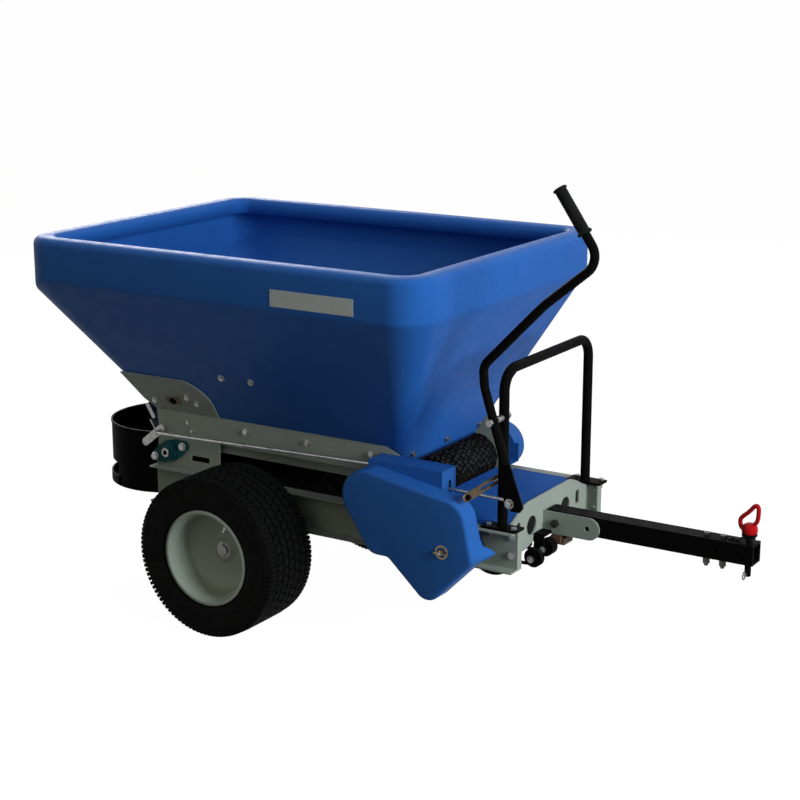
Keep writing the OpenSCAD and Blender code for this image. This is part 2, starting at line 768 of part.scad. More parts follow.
module far_chain() {
  color(black) place() difference() {
    chain_loop([0, axle_z], 44.6, [roll_x, roll_z], 36.6, 273.5, 284.5);
    standing(275.6, 282.4) {
      translate([0, axle_z]) circle(49);
      translate([roll_x, roll_z]) circle(41);
    }
  }
}

module jackshaft() {
  color(steel) place() ybar(jack_x, jack_z, 20, -346, -40);
}

module jack_pulley() {
  // belt pulley with a large side disc
  color(black) place() difference() {
    union() {
      pulley(jack_x, jack_z, 40, -102);
      ybar(jack_x, jack_z, 148, -114, -109);
      ybar(jack_x, jack_z, 34, -130, -108);
    }
    ybar(jack_x, jack_z, 20.04, -200, 0);
  }
}

// Grooved belt pulley of outside radius r about Y
module pulley(x, z, r, y) {
  translate([x, y, z]) rotate([90, 0, 0]) rotate_extrude()
    polygon([[0, -8], [r, -8], [r - 11, -3], [r - 11, 3], [r, 8], [0, 8]]);
}

module drive_belt() {
  color(rubber) place() chain_loop([jack_x, jack_z], 33.4, [752, 243], 18.4, -104.5, -99.5);
}

module idler_pulleys() {
  color(black) place() difference() {
    pulley(752, 243, 25, -102);
    ybar(752, 243, 12 + 2 * run, -200, 0);
  }
}

module idler_bracket() {
  // hanger under the front plate with its axle and the second, fixed guide disc
  color(black) place() {
    difference() {
      union() {
        ybar(752, 243, 12, -122, -80);
        hex_y(752, 243, 19, -124, -114);
        standing(-84, -78) {
          translate([752, 243]) circle(16);
          polygon([[738, 243], [768, 243], [768, 300], [742, 300]]);
        }
        box([742, -84, 292], [768, -40, 300]);
        ybar(768, 262, 44, -76, -48);
        ybar(768, 262, 12, -86, -40);
        hex_y(768, 262, 19, -92, -84);
      }
    }
  }
}

module guide_block() {
  // brown bearing block under the drawbar root
  color(bronze) place() difference() {
    union() {
      box([753, -24, 259], [796, 24, 276]);
      for (s = [-1, 1]) scale([1, s, 1]) box([762, 20, 264], [788, bar_w / 2 + 5, 287 - gap]);
    }
    translate([775, 0, 250]) cylinder(d = 10, h = 50);
  }
}

module front_gearbox() {
  color(black) place() difference() {
    union() {
      box([jack_x - 42, -46, jack_z - 34], [jack_x + 36, 40, jack_z + 34]);
      ybar(jack_x, jack_z, 48, -54, -40);
      xbar(0, jack_z, 44, jack_x - 52, jack_x - 40);
      box([jack_x - 36, -70, jack_z + 28], [jack_x + 30, 70, jack_z + 36]);
      for (y = [-66, 58]) box([jack_x - 12, y, jack_z + 30], [jack_x + 12, y + 8, jack_z + 60]);
    }
    ybar(jack_x, jack_z, 20 + 2 * run, -100, -30);
    xbar(0, jack_z, 18 + 2 * run, jack_x - 90, jack_x - 30);
  }
}

module spinner_shaft() {
  color(steel) place() xbar(0, jack_z, 18, -spin_x + 30, jack_x - 32);
}

module spinner_gearbox() {
  color(black) place() difference() {
    union() {
      box([-spin_x - 36, -36, shroud_low], [-spin_x + 36, 36, 264]);
      box([-spin_x + 20, -24, shroud_low], [-spin_x + 50, 24, 264]);
    }
    translate([-spin_x, 0, 254]) cylinder(d = 20 + 2 * run, h = 60);
    xbar(0, jack_z, 18 + 2 * run, -spin_x + 28, -spin_x + 60);
  }
}

module spinner_disc() {
  // flat disc with four upright paddles
  color(steel) place() {
    translate([-spin_x, 0, 255]) cylinder(d = 20, h = 46);
    translate([-spin_x, 0, 268]) cylinder(d = 300, h = 4);
    translate([-spin_x, 0, 268]) cylinder(d = 60, h = 20);
    for (a = [20 : 90 : 290]) translate([-spin_x, 0, 271]) rotate(a) translate([22, -2, 0]) cube([124, 4, 40]);
  }
}

module shroud() {
  // rolled sheet open toward the belt, with the discharge window low at the rear
  color(black) place() difference() {
    union() {
      translate([-spin_x, 0, shroud_low]) cylinder(r = shroud_r, h = shroud_top - shroud_low, $fn = 96);
      translate([-spin_x, 0, shroud_top - 5]) cylinder(r = shroud_r + 2, h = 5, $fn = 96);
    }
    translate([-spin_x, 0, shroud_low - 10]) cylinder(r = shroud_r - 3, h = 260, $fn = 96);
    box([-spin_x + 84, -300, shroud_low - 10], [0, 300, shroud_top + 10]);
    // discharge window
    translate([-spin_x, 0, shroud_low - 1]) linear_extrude(61) polygon([[0, 0], [-150, 260], [-300, 200], [-300, -200], [-120, -260]]);
    translate([-spin_x, 0, 286]) rotate([90, 0, 28 + 90]) cylinder(d = 26, h = 260);
  }
}

module discharge_pan() {
  color(frame_grey) place() difference() {
    union() {
      translate([-spin_x, 0, shroud_low - 4]) cylinder(r = pan_rear_x - spin_x, h = 4 - gap, $fn = 96);
      intersection() {
        translate([-spin_x, 0, shroud_low - 4]) cylinder(r = pan_rear_x - spin_x, h = 26, $fn = 96);
        translate([-spin_x, 0, shroud_low - 4]) linear_extrude(30) polygon([[0, 0], [-140, 260], [-300, 190], [-300, -190], [-110, -260]]);
      }
    }
    translate([-spin_x, 0, shroud_low - 0.4]) cylinder(r = shroud_r + 0.6, h = 40, $fn = 96);
    box([-345, -300, 200], [0, 300, 300]);
  }
}

module pan_brace() {
  // two arms from the rear cross tube to the pan, gearbox hung between them
  color(black) place() for (s = [-1, 1]) scale([1, s, 1]) {
    box([-spin_x - 60, 37, shroud_low - 20], [-rail_rear + 30, 45, shroud_low - 4.4]);
    standing(37, 45) polygon([[-spin_x + 10, shroud_low - 6], [-spin_x - 44, shroud_low - 6], [-spin_x + 40, shroud_low - 50], [-rail_rear + 20, shroud_low - 50], [-rail_rear + 40, shroud_low - 6]]);
    box([-rail_rear + 24, 37, shroud_low - 20], [-rail_rear + 40, 45, rail_low + 1.6]);
    box([-spin_x - 30, 36.4, shroud_low - 40], [-spin_x + 30, 38, shroud_low - 10]);
  }
}

// Gate drawn hanging from its hinge
module gate_plate() {
  len = norm([gate_hinge[0] + 346, gate_hinge[1] - 448]);
  ang = atan2(gate_hinge[0] + 346, gate_hinge[1] - 448);
  color(zinc) place() difference() {
    union() {
      translate([gate_hinge[0], 0, gate_hinge[1]]) rotate([0, ang, 0]) {
        translate([-1.5, -224, -len]) cube([3, 448, len - 6]);
        translate([-1.5, -246, -len]) cube([3, 30, 34]);
        translate([-10, -224, -len + 4]) cube([10, 3, len - 14]);
        translate([-10, 221, -len + 4]) cube([10, 3, len - 14]);
      }
      for (y = [-200, -60, 60]) ybar(gate_hinge[0], gate_hinge[1], 17, y, y + 140 - (y < 0 && y > -100 ? 20 : 0));
    }
    ybar(gate_hinge[0], gate_hinge[1], 10 + 2 * run, -300, 300);
    for (y = [-250, 201]) ybar(gate_hinge[0], gate_hinge[1], 42, y, y + 49);
  }
}

module gate_arm() {
  // flat arm outside the panel that takes the rod
  color(zinc) place() standing(-250, -246.4) difference() {
    stadium([-380, 412], [-322, 458], 11);
    translate(gate_pin) circle(5.6);
  }
}

module gate_brackets() {
  // hinge rod and its two brackets on the rear wall
  tilt = atan(rear_lean);
  color(zinc) place() {
    ybar(gate_hinge[0], gate_hinge[1], 10, -214, 214);
    for (y = [-212, 204]) {
      standing(y, y + 8) {
        translate(gate_hinge) circle(9);
        translate(gate_hinge) rotate(tilt) translate([0, -8]) square([14, 16]);
      }
      translate([gate_hinge[0], y + 4, gate_hinge[1]]) rotate([0, -tilt, 0]) translate([12.8, -14, -12]) cube([2.6, 28, 60]);
    }
  }
}

rod_path = [[gate_pin[0] + 1, gate_pin[1]], [440, 470], [520, 441], [arm_pin[0] - 7, arm_pin[1] + 0.5]];
rod_y = -262;

module control_rod() {
  color(zinc) place() {
    difference() {
      union() {
        // long rear run, joggle inside the guard box, short front run
        bent_bar(rod_path, 8, [0, 24, 24, 0], rod_y);
        // front eye
        ybar(arm_pin[0], arm_pin[1], 22, rod_y - 5, rod_y + 5);
      }
      ybar(arm_pin[0], arm_pin[1], 10 + 2 * run, -300, -200);
    }
    // hooked rear end through the arm
    ybar(gate_pin[0], gate_pin[1], 9, rod_y - 6, -241);
    ybar(gate_pin[0], gate_pin[1], 14, rod_y - 5, rod_y + 5);
  }
}

lever_path = [[897, 1193], [999, 1045], [859, 931], [698, 766], [703, 714], [762, 530]];
lever_bends = [0, 47, 200, 40, 60, 0];

module lever() {
  color(black) place() {
    difference() {
      union() {
        bent_bar(lever_path, lever_d, lever_bends, -lever_y);
        // flattened tongue with the rod pin
        standing(-lever_y - 3, -lever_y + 3) polygon([[745, 560], [762, 565], [812, 430], [804, 418], [780, 418], [762, 436], [757, 460]]);
      }
      ybar(hoop_x, pivot_z, 10 + 2 * run, -320, -250);
    }
    ybar(arm_pin[0], arm_pin[1], 10, -lever_y - 4, rod_y + 9);
    hex_y(arm_pin[0], arm_pin[1], 16, -lever_y - 10, -lever_y - 2.9);
  }
}

module lever_grip() {
  // rubber sleeve with a raised collar at each end
  v = lever_path[1] - lever_path[0];
  color(rubber) place() translate([lever_path[0][0], -lever_y, lever_path[0][1]])
    rotate([0, 90 - atan2(v[1], v[0]), 0]) difference() {
      union() {
        translate([0, 0, -14]) cylinder(d = 29, h = 120, $fn = 40);
        translate([0, 0, -14]) cylinder(d = 35, h = 7, $fn = 40);
        translate([0, 0, 100]) cylinder(d = 36, h = 8, $fn = 40);
      }
      translate([0, 0, -0.4]) cylinder(d = lever_d + 0.6, h = 130, $fn = 40);
    }
}

module lever_pivot_bolt() {
  color(zinc) place() {
    ybar(hoop_x, pivot_z, 10, -304, -208);
    hex_y(hoop_x, pivot_z, 16, -304, -297);
    hex_y(hoop_x, pivot_z, 16, -hoop_y + 13.1, -hoop_y + 22);
    // spacer sleeve between the lever and the hoop
    difference() {
      ybar(hoop_x, pivot_z, 17, -lever_y + lever_d / 2 + 0.6, -hoop_y - hoop_d / 2 - 0.4);
      ybar(hoop_x, pivot_z, 9.9, -300, -200);
    }
  }
}

module hoop() {
  r = 52;
  color(black) place() difference() {
    union() {
      translate([hoop_x, 0, 0]) rotate([0, 0, 90]) bent_bar([[-hoop_y, rail_top + 5], [-hoop_y, hoop_top], [hoop_y, hoop_top], [hoop_y, rail_top + 5]], hoop_d, [0, r, r, 0], 0);
      for (s = [-1, 1]) scale([1, s, 1]) box([hoop_x - 47, hoop_y - 16, rail_top + gap], [hoop_x + 52, hoop_y + 27, rail_top + 6]);
    }
    ybar(hoop_x, pivot_z, 10.4, -300, -200);
    for (s = [-1, 1], x = foot_bolts) translate([x, s * foot_y, rail_top - 20]) cylinder(d = 9, h = 40);
  }
}

module guard_strut() {
  // slotted flat bar from the hoop to the top of the guard, with its clamp
  color(gold_zinc) place() difference() {
    union() {
      box([hoop_x - 17.4, -345, 462], [hoop_x - 13.2, -212, 484]);
      box([hoop_x - 60, -345, 462], [hoop_x - 13.2, -330, 466]);
    }
    box([hoop_x - 30, -318, 469], [hoop_x, -262, 477]);
    translate([hoop_x - 30, -hoop_y, 473]) rotate([0, 90, 0]) cylinder(d = 9, h = 30);
    translate([hoop_x - 46, -338, 450]) cylinder(d = 8, h = 30);
  }
}

module front_plate() {
  color(frame_grey) place() difference() {
    union() {
      for (s = [-1, 1]) scale([1, s, 1]) box([684, 225, 276], [769.4, panel_y - plate_t - gap, 345]);
      facing(733, 738) polygon([[-226, 268], [-120, 268], [-90, 276], [90, 276], [120, 268], [226, 268], [226, 338], [214, 350],
      [204, 353], [184, 362], [160, 374], [128, 386], [110, 388], [-110, 388], [-128, 386], [-160, 374], [-184, 362], [-204, 353], [-214, 350], [-226, 338]]);
    }
    for (s = [-1, 1], p = rail_bolts) ybar(p[0], p[1], 10.5, s > 0 ? 200 : -250, s > 0 ? 250 : -200);
    for (s = [-1, 1]) {
      xbar(s * 93, 322, 50, 700, 760);
      xbar(s * 163, 338, 20, 700, 760);
      box([700, s > 0 ? 153 : -173, 312], [760, s > 0 ? 173 : -153, 338]);
    }
  }
}

module deck_cover() {
  t = 2.5;
  z0 = rail_top + gap;
  color(cloth_blue) place() {
    for (s = [-1, 1]) scale([1, s, 1]) box([515, 199, z0], [680, panel_y - plate_t - gap, z0 + t]);
    facing(515, 732.6) polygon([[-202, z0], [-182, z0 + 8], [-160, deck_z - 12], [-128, deck_z - 1], [-110, deck_z], [110, deck_z],
      [128, deck_z - 1], [160, deck_z - 12], [182, z0 + 8], [202, z0], [202 - 2 * t, z0], [181, z0 + 8 - t], [159, deck_z - 12 - t],
      [127, deck_z - 1 - t], [110, deck_z - t], [-110, deck_z - t], [-127, deck_z - 1 - t], [-159, deck_z - 12 - t], [-181, z0 + 8 - t], [-202 + 2 * t, z0]]);
  }
}

module tongue_bracket() {
  y0 = bar_w / 2 + gap;
  z = 316;
  color(frame_grey) place() difference() {
    union() {
      box([738 + gap, -y0 - 5, 287], [743, y0 + 5, 345]);
      for (s = [-1, 1]) scale([1, s, 1]) {
        box([738 + gap, y0, 287], [866, y0 + 5, 345]);
        ybar(866, z, 58, y0, y0 + 5);
      }
    }
    for (x = [773, 861]) ybar(x, z, 12.6, -60, 60);
  }
}

module drawbar() {
  h = bar_w / 2;
  color(black) place() difference() {
    box([746, -h, bar_low], [drawbar_front_x, h, bar_top]);
    box([740, -h + bar_wall, bar_low + bar_wall], [drawbar_front_x + 5, h - bar_wall, bar_top - bar_wall]);
    for (x = [773, 861]) ybar(x, 316, 12.6, -60, 60);
    for (x = [1201, 1258]) ybar(x, 321, 10, -60, 60);
    for (x = [1170, 1212]) translate([x, 0, 280]) cylinder(d = 11, h = 90);
    translate([pin_x, 0, 280]) cylinder(d = pin_d + 2 * run, h = 90);
  }
}

module tongue_bolts() {
  y0 = bar_w / 2 + gap + 5;
  color(zinc) place() {
    hex_y(773, 316, 19, -y0 - 8, -y0 - gap);
    ybar(773, 316, 12, -y0 - 1, y0 + 12);
    hex_y(773, 316, 19, y0 + gap, y0 + 10);
    // two upright bolts through the bar behind the hitch pin
    for (x = [1170, 1212]) {
      hex_z(x, 0, 16, bar_top + gap, bar_top + 7);
      translate([x, 0, 270]) cylinder(d = 10, h = bar_top - 268);
      hex_z(x, 0, 16, 276, bar_low - gap);
    }
  }
}

module hitch_pin() {
  color(red) place() difference() {
    union() {
      translate([pin_x, 0, 262]) cylinder(d = pin_d, h = 112);
      // collar over the bar
      translate([pin_x, 0, bar_top + 3.4]) cylinder(d = 26, h = 12);
      // loop handle
      translate([pin_x, 0, 404]) rotate([90, 0, 0]) rotate_extrude() translate([21, 0]) circle(5);
      translate([pin_x, 0, 368]) cylinder(d = 17, h = 14);
    }
    ybar(pin_x, 270, 3.6, -30, 30);
  }
}

module hitch_clip() {
  // spring clip through the lower end of the pin
  color(zinc) place() {
    ybar(pin_x, 270, 3.4, -24, 18);
    translate([pin_x, -24, 270]) rotate([0, 90, 0]) translate([0, 0, 0]) rotate([0, 0, 0]) rotate_extrude() translate([9, 0]) circle(1.7);
  }
}

module pin_tether() {
  // short flat lanyard with an eye at each end
  color(black) place() difference() {
    translate([0, 0, bar_top + gap]) linear_extrude(2.6) stadium([1236, 0], [pin_x, 0], 12);
    translate([pin_x, 0, 300]) cylinder(d = pin_d + 1.2, h = 80);
    translate([1236, 0, 300]) cylinder(d = 6, h = 80);
  }
}

tyre_right();
tyre_left();
wheel_right();
wheel_left();
drive_axle();
axle_bearings();
axle_sprocket();
axle_end_caps();
valve_right();
valve_left();
chassis_frame();
side_panel_right();
side_panel_left();
hopper();
name_plate();
conveyor_belt();
belt_bed();
front_roller();
rear_roller();
roller_bearings();
frame_bolts();
chain_guard();
guard_box();
guard_fastening();
roller_sprocket();
jack_sprocket();
drive_chain();
far_cover();
far_sprocket();
far_chain();
jackshaft();
jack_pulley();
drive_belt();
idler_pulleys();
idler_bracket();
guide_block();
front_gearbox();
spinner_shaft();
spinner_gearbox();
spinner_disc();
shroud();
discharge_pan();
pan_brace();
gate_plate();
gate_arm();
gate_brackets();
control_rod();
lever();
lever_grip();
lever_pivot_bolt();
hoop();
guard_strut();
front_plate();
deck_cover();
tongue_bracket();
drawbar();
tongue_bolts();
hitch_pin();
hitch_clip();
pin_tether();
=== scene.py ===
# %% [markdown]
# # A tow-behind compost spreader
# The real machine is a blue moulded hopper over a belt, on two turf tyres, with a welded grey-green
# frame, a chain guard, a gate lever and a square drawbar. Its solids come packed from the CAD source,
# already in place, so this lesson adds what a solid lacks: finishes, tread, rounded sheet edges, grips.
# The imported model is loaded first.

# %% Load the imported machine
import json
import math
import bmesh
import bpy
from mathutils import Matrix, Vector


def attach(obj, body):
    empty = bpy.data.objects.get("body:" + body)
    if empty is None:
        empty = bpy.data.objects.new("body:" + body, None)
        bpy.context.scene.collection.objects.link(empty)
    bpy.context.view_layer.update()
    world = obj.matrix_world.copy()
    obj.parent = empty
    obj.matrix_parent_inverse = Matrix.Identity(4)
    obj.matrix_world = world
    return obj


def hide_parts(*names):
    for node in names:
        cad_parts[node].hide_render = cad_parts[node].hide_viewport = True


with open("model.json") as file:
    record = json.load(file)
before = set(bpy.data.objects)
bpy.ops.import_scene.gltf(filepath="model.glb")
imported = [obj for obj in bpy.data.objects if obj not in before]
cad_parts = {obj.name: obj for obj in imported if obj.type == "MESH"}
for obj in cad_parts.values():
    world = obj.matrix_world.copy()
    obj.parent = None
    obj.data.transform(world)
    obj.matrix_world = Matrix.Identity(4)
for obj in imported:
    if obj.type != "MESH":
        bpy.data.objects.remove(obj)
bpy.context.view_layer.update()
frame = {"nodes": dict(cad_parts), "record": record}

nodes = frame["nodes"]

# %% [markdown]
# The drawings count millimetres from the axle: X forward, Y to the left, Z up from the ground. The
# scene is in metres about the middle of the machine, 318 mm ahead of the axle. One helper turns a
# drawing point into a scene point, so every piece below can use the drawing's own numbers. NEAR_SIDE
# is the direction out of the machine's right side, which the photograph shows.

# %% Drawing numbers to scene metres
MIDDLE = 318.0
AXLE_Z = 212
NEAR_SIDE = (0, -1, 0)


def spot(x, y, z):
    return Vector(((x - MIDDLE) / 1000, y / 1000, z / 1000))


print("axle at", tuple(spot(0, 0, AXLE_Z)))

# %% [markdown]
# The photograph was taken from ahead and to the right, a little above the rim, with a long lens. Its
# vanishing lines gave the place and the focal length, so the camera repeats them as plain numbers.

# %% Camera at the photograph's angle
lens = bpy.data.cameras.new("camera")
lens.sensor_width = 36.0
lens.lens = 79.92
camera = bpy.data.objects.new("camera", lens)
camera.location = (2.387, -3.874, 1.736)
camera.rotation_euler = (math.radians(75.631), 0.0, math.radians(31.94))
bpy.context.scene.collection.objects.link(camera)
bpy.context.scene.camera = camera
print("camera lens", round(lens.lens, 1), "mm")

# %% [markdown]
# A studio lights such a machine with one big soft lamp ahead of it and leaves the near side in shade.
# An area lamp does that with soft shadow edges. It is hidden from mirrored light, because its image in
# the waxy walls would wash out their blue. The world adds a dim warm fill. What the camera and the
# shiny surfaces see of the world is plain white, so the background stays white without more light.

# %% Lamps and world
def soft_lamp(name, place, aim, side, power, colour):
    lamp = bpy.data.lights.new(name, "AREA")
    lamp.shape = "SQUARE"
    lamp.size = side
    lamp.energy = power
    lamp.color = colour
    holder = bpy.data.objects.new(name, lamp)
    holder.location = place
    holder.rotation_euler = (Vector(aim) - Vector(place)).to_track_quat("-Z", "Y").to_euler()
    bpy.context.scene.collection.objects.link(holder)
    return holder


BELT_MIDDLE = (0.0, 0.0, 0.5)
ahead = soft_lamp("lamp_ahead", (4.6, -0.9, 2.0), (0.1, 0.0, 0.5), side=2.2, power=205,
                  colour=(0.90, 0.96, 1.0))
ahead.visible_glossy = False
soft_lamp("lamp_above", (-0.6, 0.6, 4.6), BELT_MIDDLE, side=3.0, power=40, colour=(0.97, 0.98, 1.0))
soft_lamp("lamp_side", (-0.6, -4.6, 3.0), BELT_MIDDLE, side=3.0, power=12, colour=(1.0, 0.92, 0.80))
soft_lamp("lamp_behind", (-4.0, 3.4, 2.6), BELT_MIDDLE, side=2.4, power=110, colour=(1.0, 0.99, 0.98))

world = bpy.data.worlds.new("studio")
bpy.context.scene.world = world
world.use_nodes = True
sky = world.node_tree
back = sky.nodes["Background"]
back.inputs["Color"].default_value = (1.0, 0.93, 0.80, 1.0)
back.inputs["Strength"].default_value = 0.11
white = sky.nodes.new("ShaderNodeBackground")
white.inputs["Color"].default_value = (1.0, 1.0, 1.0, 1.0)
white.inputs["Strength"].default_value = 1.0
ray = sky.nodes.new("ShaderNodeLightPath")
choose = sky.nodes.new("ShaderNodeMixShader")
seen = ray.outputs["Is Camera Ray"]
for kind in ("Is Glossy Ray", "Is Transmission Ray"):
    either = sky.nodes.new("ShaderNodeMath")
    either.operation = "MAXIMUM"
    sky.links.new(seen, either.inputs[0])
    sky.links.new(ray.outputs[kind], either.inputs[1])
    seen = either.outputs[0]
sky.links.new(seen, choose.inputs[0])
sky.links.new(back.outputs[0], choose.inputs[1])
sky.links.new(white.outputs[0], choose.inputs[2])
sky.links.new(choose.outputs[0], sky.nodes["World Output"].inputs["Surface"])
bpy.context.scene.view_settings.view_transform = "Standard"

# %% [markdown]
# ## Finishes
# Each finish is a small node tree. A few helpers keep them readable: one adds a node and sets its
# sockets, one makes noise of a given size in metres, one maps a value to a range, one mixes two
# colours and one lets the roughness wander in patches. Noise reads Object coordinates, so a pattern
# stays on its piece when the piece moves. The Mix node has a socket of every kind under one name, so
# its colour sockets are taken by number.

# %% Helpers for node trees
finishes = {}


def new_finish(name, colour, rough, metal=0.0):
    finish = bpy.data.materials.new(name)
    finish.use_nodes = True
    skin = finish.node_tree.nodes["Principled BSDF"]
    skin.inputs["Base Color"].default_value = (*colour, 1.0)
    skin.inputs["Roughness"].default_value = rough
    skin.inputs["Metallic"].default_value = metal
    finishes[name] = finish
    return finish.node_tree, skin


def add(tree, kind, **sockets):
    node = tree.nodes.new(kind)
    for name, value in sockets.items():
        if name in node.inputs:
            node.inputs[name].default_value = value
        else:
            setattr(node, name, value)
    return node


def noise(tree, size, detail=2.0, stretch=(1.0, 1.0, 1.0), source=None):
    place = source or add(tree, "ShaderNodeTexCoord").outputs["Object"]
    turn = add(tree, "ShaderNodeMapping", Scale=tuple(s / size for s in stretch))
    cloud = add(tree, "ShaderNodeTexNoise", Scale=1.0, Detail=detail)
    tree.links.new(place, turn.inputs["Vector"])
    tree.links.new(turn.outputs[0], cloud.inputs["Vector"])
    return cloud.outputs["Fac"]


def ranged(tree, value, low, high, to_low, to_high):
    fit = add(tree, "ShaderNodeMapRange")
    for name, number in (("From Min", low), ("From Max", high), ("To Min", to_low), ("To Max", to_high)):
        fit.inputs[name].default_value = number
    tree.links.new(value, fit.inputs["Value"])
    return fit.outputs[0]


FACTOR_IN, COLOUR_A_IN, COLOUR_B_IN, COLOUR_OUT = 0, 6, 7, 2


def tint(tree, factor, first, second):
    mix = add(tree, "ShaderNodeMix", data_type="RGBA")
    for socket, colour in ((mix.inputs[COLOUR_A_IN], first), (mix.inputs[COLOUR_B_IN], second)):
        if hasattr(colour, "default_value"):
            tree.links.new(colour, socket)
        else:
            socket.default_value = (*colour, 1.0)
    tree.links.new(factor, mix.inputs[FACTOR_IN])
    return mix.outputs[COLOUR_OUT]


def mottled(tree, skin, rough, size, detail, shinier, duller):
    shift = ranged(tree, noise(tree, size, detail), 0.3, 0.7, rough - shinier, rough + duller)
    tree.links.new(shift, skin.inputs["Roughness"])


print("node helpers ready: new_finish, add, noise, ranged, tint, mottled")

# %% [markdown]
# Paint and plating thin out and get rubbed first on sharp edges. The Bevel node looks a millimetre or
# so round each point and gives the normal of a softly rounded edge. Used as the surface normal it lets
# sheet edges catch the light, and where it differs from the true normal there is an edge to wear. FLAT
# and SHARP are the dot products of both normals where wear begins and where it is full.

# %% Soft edges and worn edges
FLAT = 0.995
SHARP = 0.86


def soft_edges(tree, skin, radius, height, depth, strength):
    soft = add(tree, "ShaderNodeBevel", samples=4, Radius=radius)
    bump = add(tree, "ShaderNodeBump", Strength=strength, Distance=depth)
    tree.links.new(height, bump.inputs["Height"])
    tree.links.new(soft.outputs[0], bump.inputs["Normal"])
    tree.links.new(bump.outputs[0], skin.inputs["Normal"])
    return soft


def worn(tree, soft, amount):
    shape = add(tree, "ShaderNodeNewGeometry")
    dot = add(tree, "ShaderNodeVectorMath", operation="DOT_PRODUCT")
    tree.links.new(soft.outputs[0], dot.inputs[0])
    tree.links.new(shape.outputs["Normal"], dot.inputs[1])
    edge = ranged(tree, dot.outputs["Value"], FLAT, SHARP, 0.0, amount)
    patch = ranged(tree, noise(tree, 0.012, 3.0), 0.42, 0.62, 0.0, 1.0)
    both = add(tree, "ShaderNodeMath", operation="MULTIPLY")
    tree.links.new(edge, both.inputs[0])
    tree.links.new(patch, both.inputs[1])
    return both.outputs[0]


print("edge helpers ready: soft_edges, worn")

# %% [markdown]
# The hopper is rotationally moulded polyethylene: one deep blue right through, with a faint orange
# peel, slow waves in the walls and a waxy sheen. The guards are the same blue as powder coat on thin
# steel, a little glossier and with a finer peel, and their edges wear a little paler. The deck cover
# is a darker, duller blue sheet.

# %% Blue mouldings and blue guards
def blue_finish(name, colour, paler, rough, peel, edge, shine=0.17):
    tree, skin = new_finish(name, colour, rough)
    skin.inputs["Specular IOR Level"].default_value = shine
    broad = noise(tree, 0.22, 2.0)
    base = tint(tree, ranged(tree, broad, 0.35, 0.7, 0.0, 0.5), colour, paler)
    height = add(tree, "ShaderNodeMath", operation="ADD")
    tree.links.new(noise(tree, peel, 1.0), height.inputs[0])
    tree.links.new(noise(tree, 0.09, 1.0), height.inputs[1])
    soft = soft_edges(tree, skin, edge, height.outputs[0], 0.0006, 0.18)
    rubbed = tint(tree, worn(tree, soft, 0.35), base, tuple(min(1.0, c * 1.5 + 0.05) for c in paler))
    tree.links.new(rubbed, skin.inputs["Base Color"])
    mottled(tree, skin, rough, size=0.03, detail=4.0, shinier=0.05, duller=0.07)


blue_finish("hopper_plastic", (0.020, 0.125, 0.46), (0.026, 0.138, 0.49),
            rough=0.48, peel=0.0022, edge=0.0015)
blue_finish("guard_plastic", (0.022, 0.130, 0.46), (0.029, 0.145, 0.49),
            rough=0.46, peel=0.0016, edge=0.0012)
blue_finish("deck_sheet", (0.022, 0.112, 0.39), (0.028, 0.124, 0.42),
            rough=0.72, peel=0.0016, edge=0.0012, shine=0.05)
print("blue finishes ready")

# %% [markdown]
# Frame, panels and wheels wear a pale grey-green powder coat. It has a fine peel, clouds a little, and
# its edges are rubbed where the steel begins to show. The black parts have the same coat, nearly matt.

# %% Grey-green and black powder coats
def coat_finish(name, colour, rough, edge, wear, sheen):
    tree, skin = new_finish(name, colour, rough)
    skin.inputs["Specular IOR Level"].default_value = sheen
    shade = tuple(c * 0.86 for c in colour)
    base = tint(tree, ranged(tree, noise(tree, 0.16, 3.0), 0.35, 0.72, 0.0, 0.7), colour, shade)
    soft = soft_edges(tree, skin, edge, noise(tree, 0.0014, 2.0), 0.0003, 0.25)
    rubbed = tint(tree, worn(tree, soft, wear), base, (0.26, 0.27, 0.26))
    tree.links.new(rubbed, skin.inputs["Base Color"])
    mottled(tree, skin, rough, size=0.02, detail=4.0, shinier=0.06, duller=0.1)


coat_finish("frame_paint", (0.35, 0.395, 0.34), rough=0.42, edge=0.0012, wear=0.35, sheen=0.2)
coat_finish("wheel_paint", (0.44, 0.51, 0.43), rough=0.36, edge=0.0015, wear=0.15, sheen=0.2)
coat_finish("black_paint", (0.0052, 0.0050, 0.0048), rough=0.42, edge=0.0012, wear=0.05, sheen=0.012)
print("powder coats ready")

# %% [markdown]
# Fasteners, rod and gate are zinc plated. Bright zinc is never one grey: it clouds in patches and its
# roughness shifts with them. The slotted bar and the wing nut are passivated yellow, which clouds
# from straw to a duller brown. Shafts and sprockets are bare turned steel, the chains dark with oil.

# %% Zinc, yellow zinc, steel and chain
def metal_finish(name, colour, cloud, rough, patch, stretch=(1.0, 1.0, 1.0)):
    tree, skin = new_finish(name, colour, rough, 1.0)
    clouds = noise(tree, patch, 4.0)
    base = tint(tree, ranged(tree, clouds, 0.35, 0.68, 0.0, 1.0), colour, cloud)
    tree.links.new(base, skin.inputs["Base Color"])
    mottled(tree, skin, rough, size=patch * 0.7, detail=3.0, shinier=0.08, duller=0.12)
    soft_edges(tree, skin, 0.0006, noise(tree, 0.002, 2.0, stretch), 0.0001, 0.4)


metal_finish("zinc_plate", (0.44, 0.44, 0.43), (0.28, 0.285, 0.28), rough=0.40, patch=0.012)
metal_finish("gold_zinc", (0.33, 0.255, 0.145), (0.24, 0.185, 0.14), rough=0.42, patch=0.012)
metal_finish("bare_steel", (0.30, 0.295, 0.28), (0.20, 0.195, 0.19), rough=0.45, patch=0.03,
             stretch=(0.3, 6.0, 0.3))
metal_finish("chain_steel", (0.13, 0.12, 0.11), (0.06, 0.055, 0.05), rough=0.42, patch=0.008)
print("metals ready")

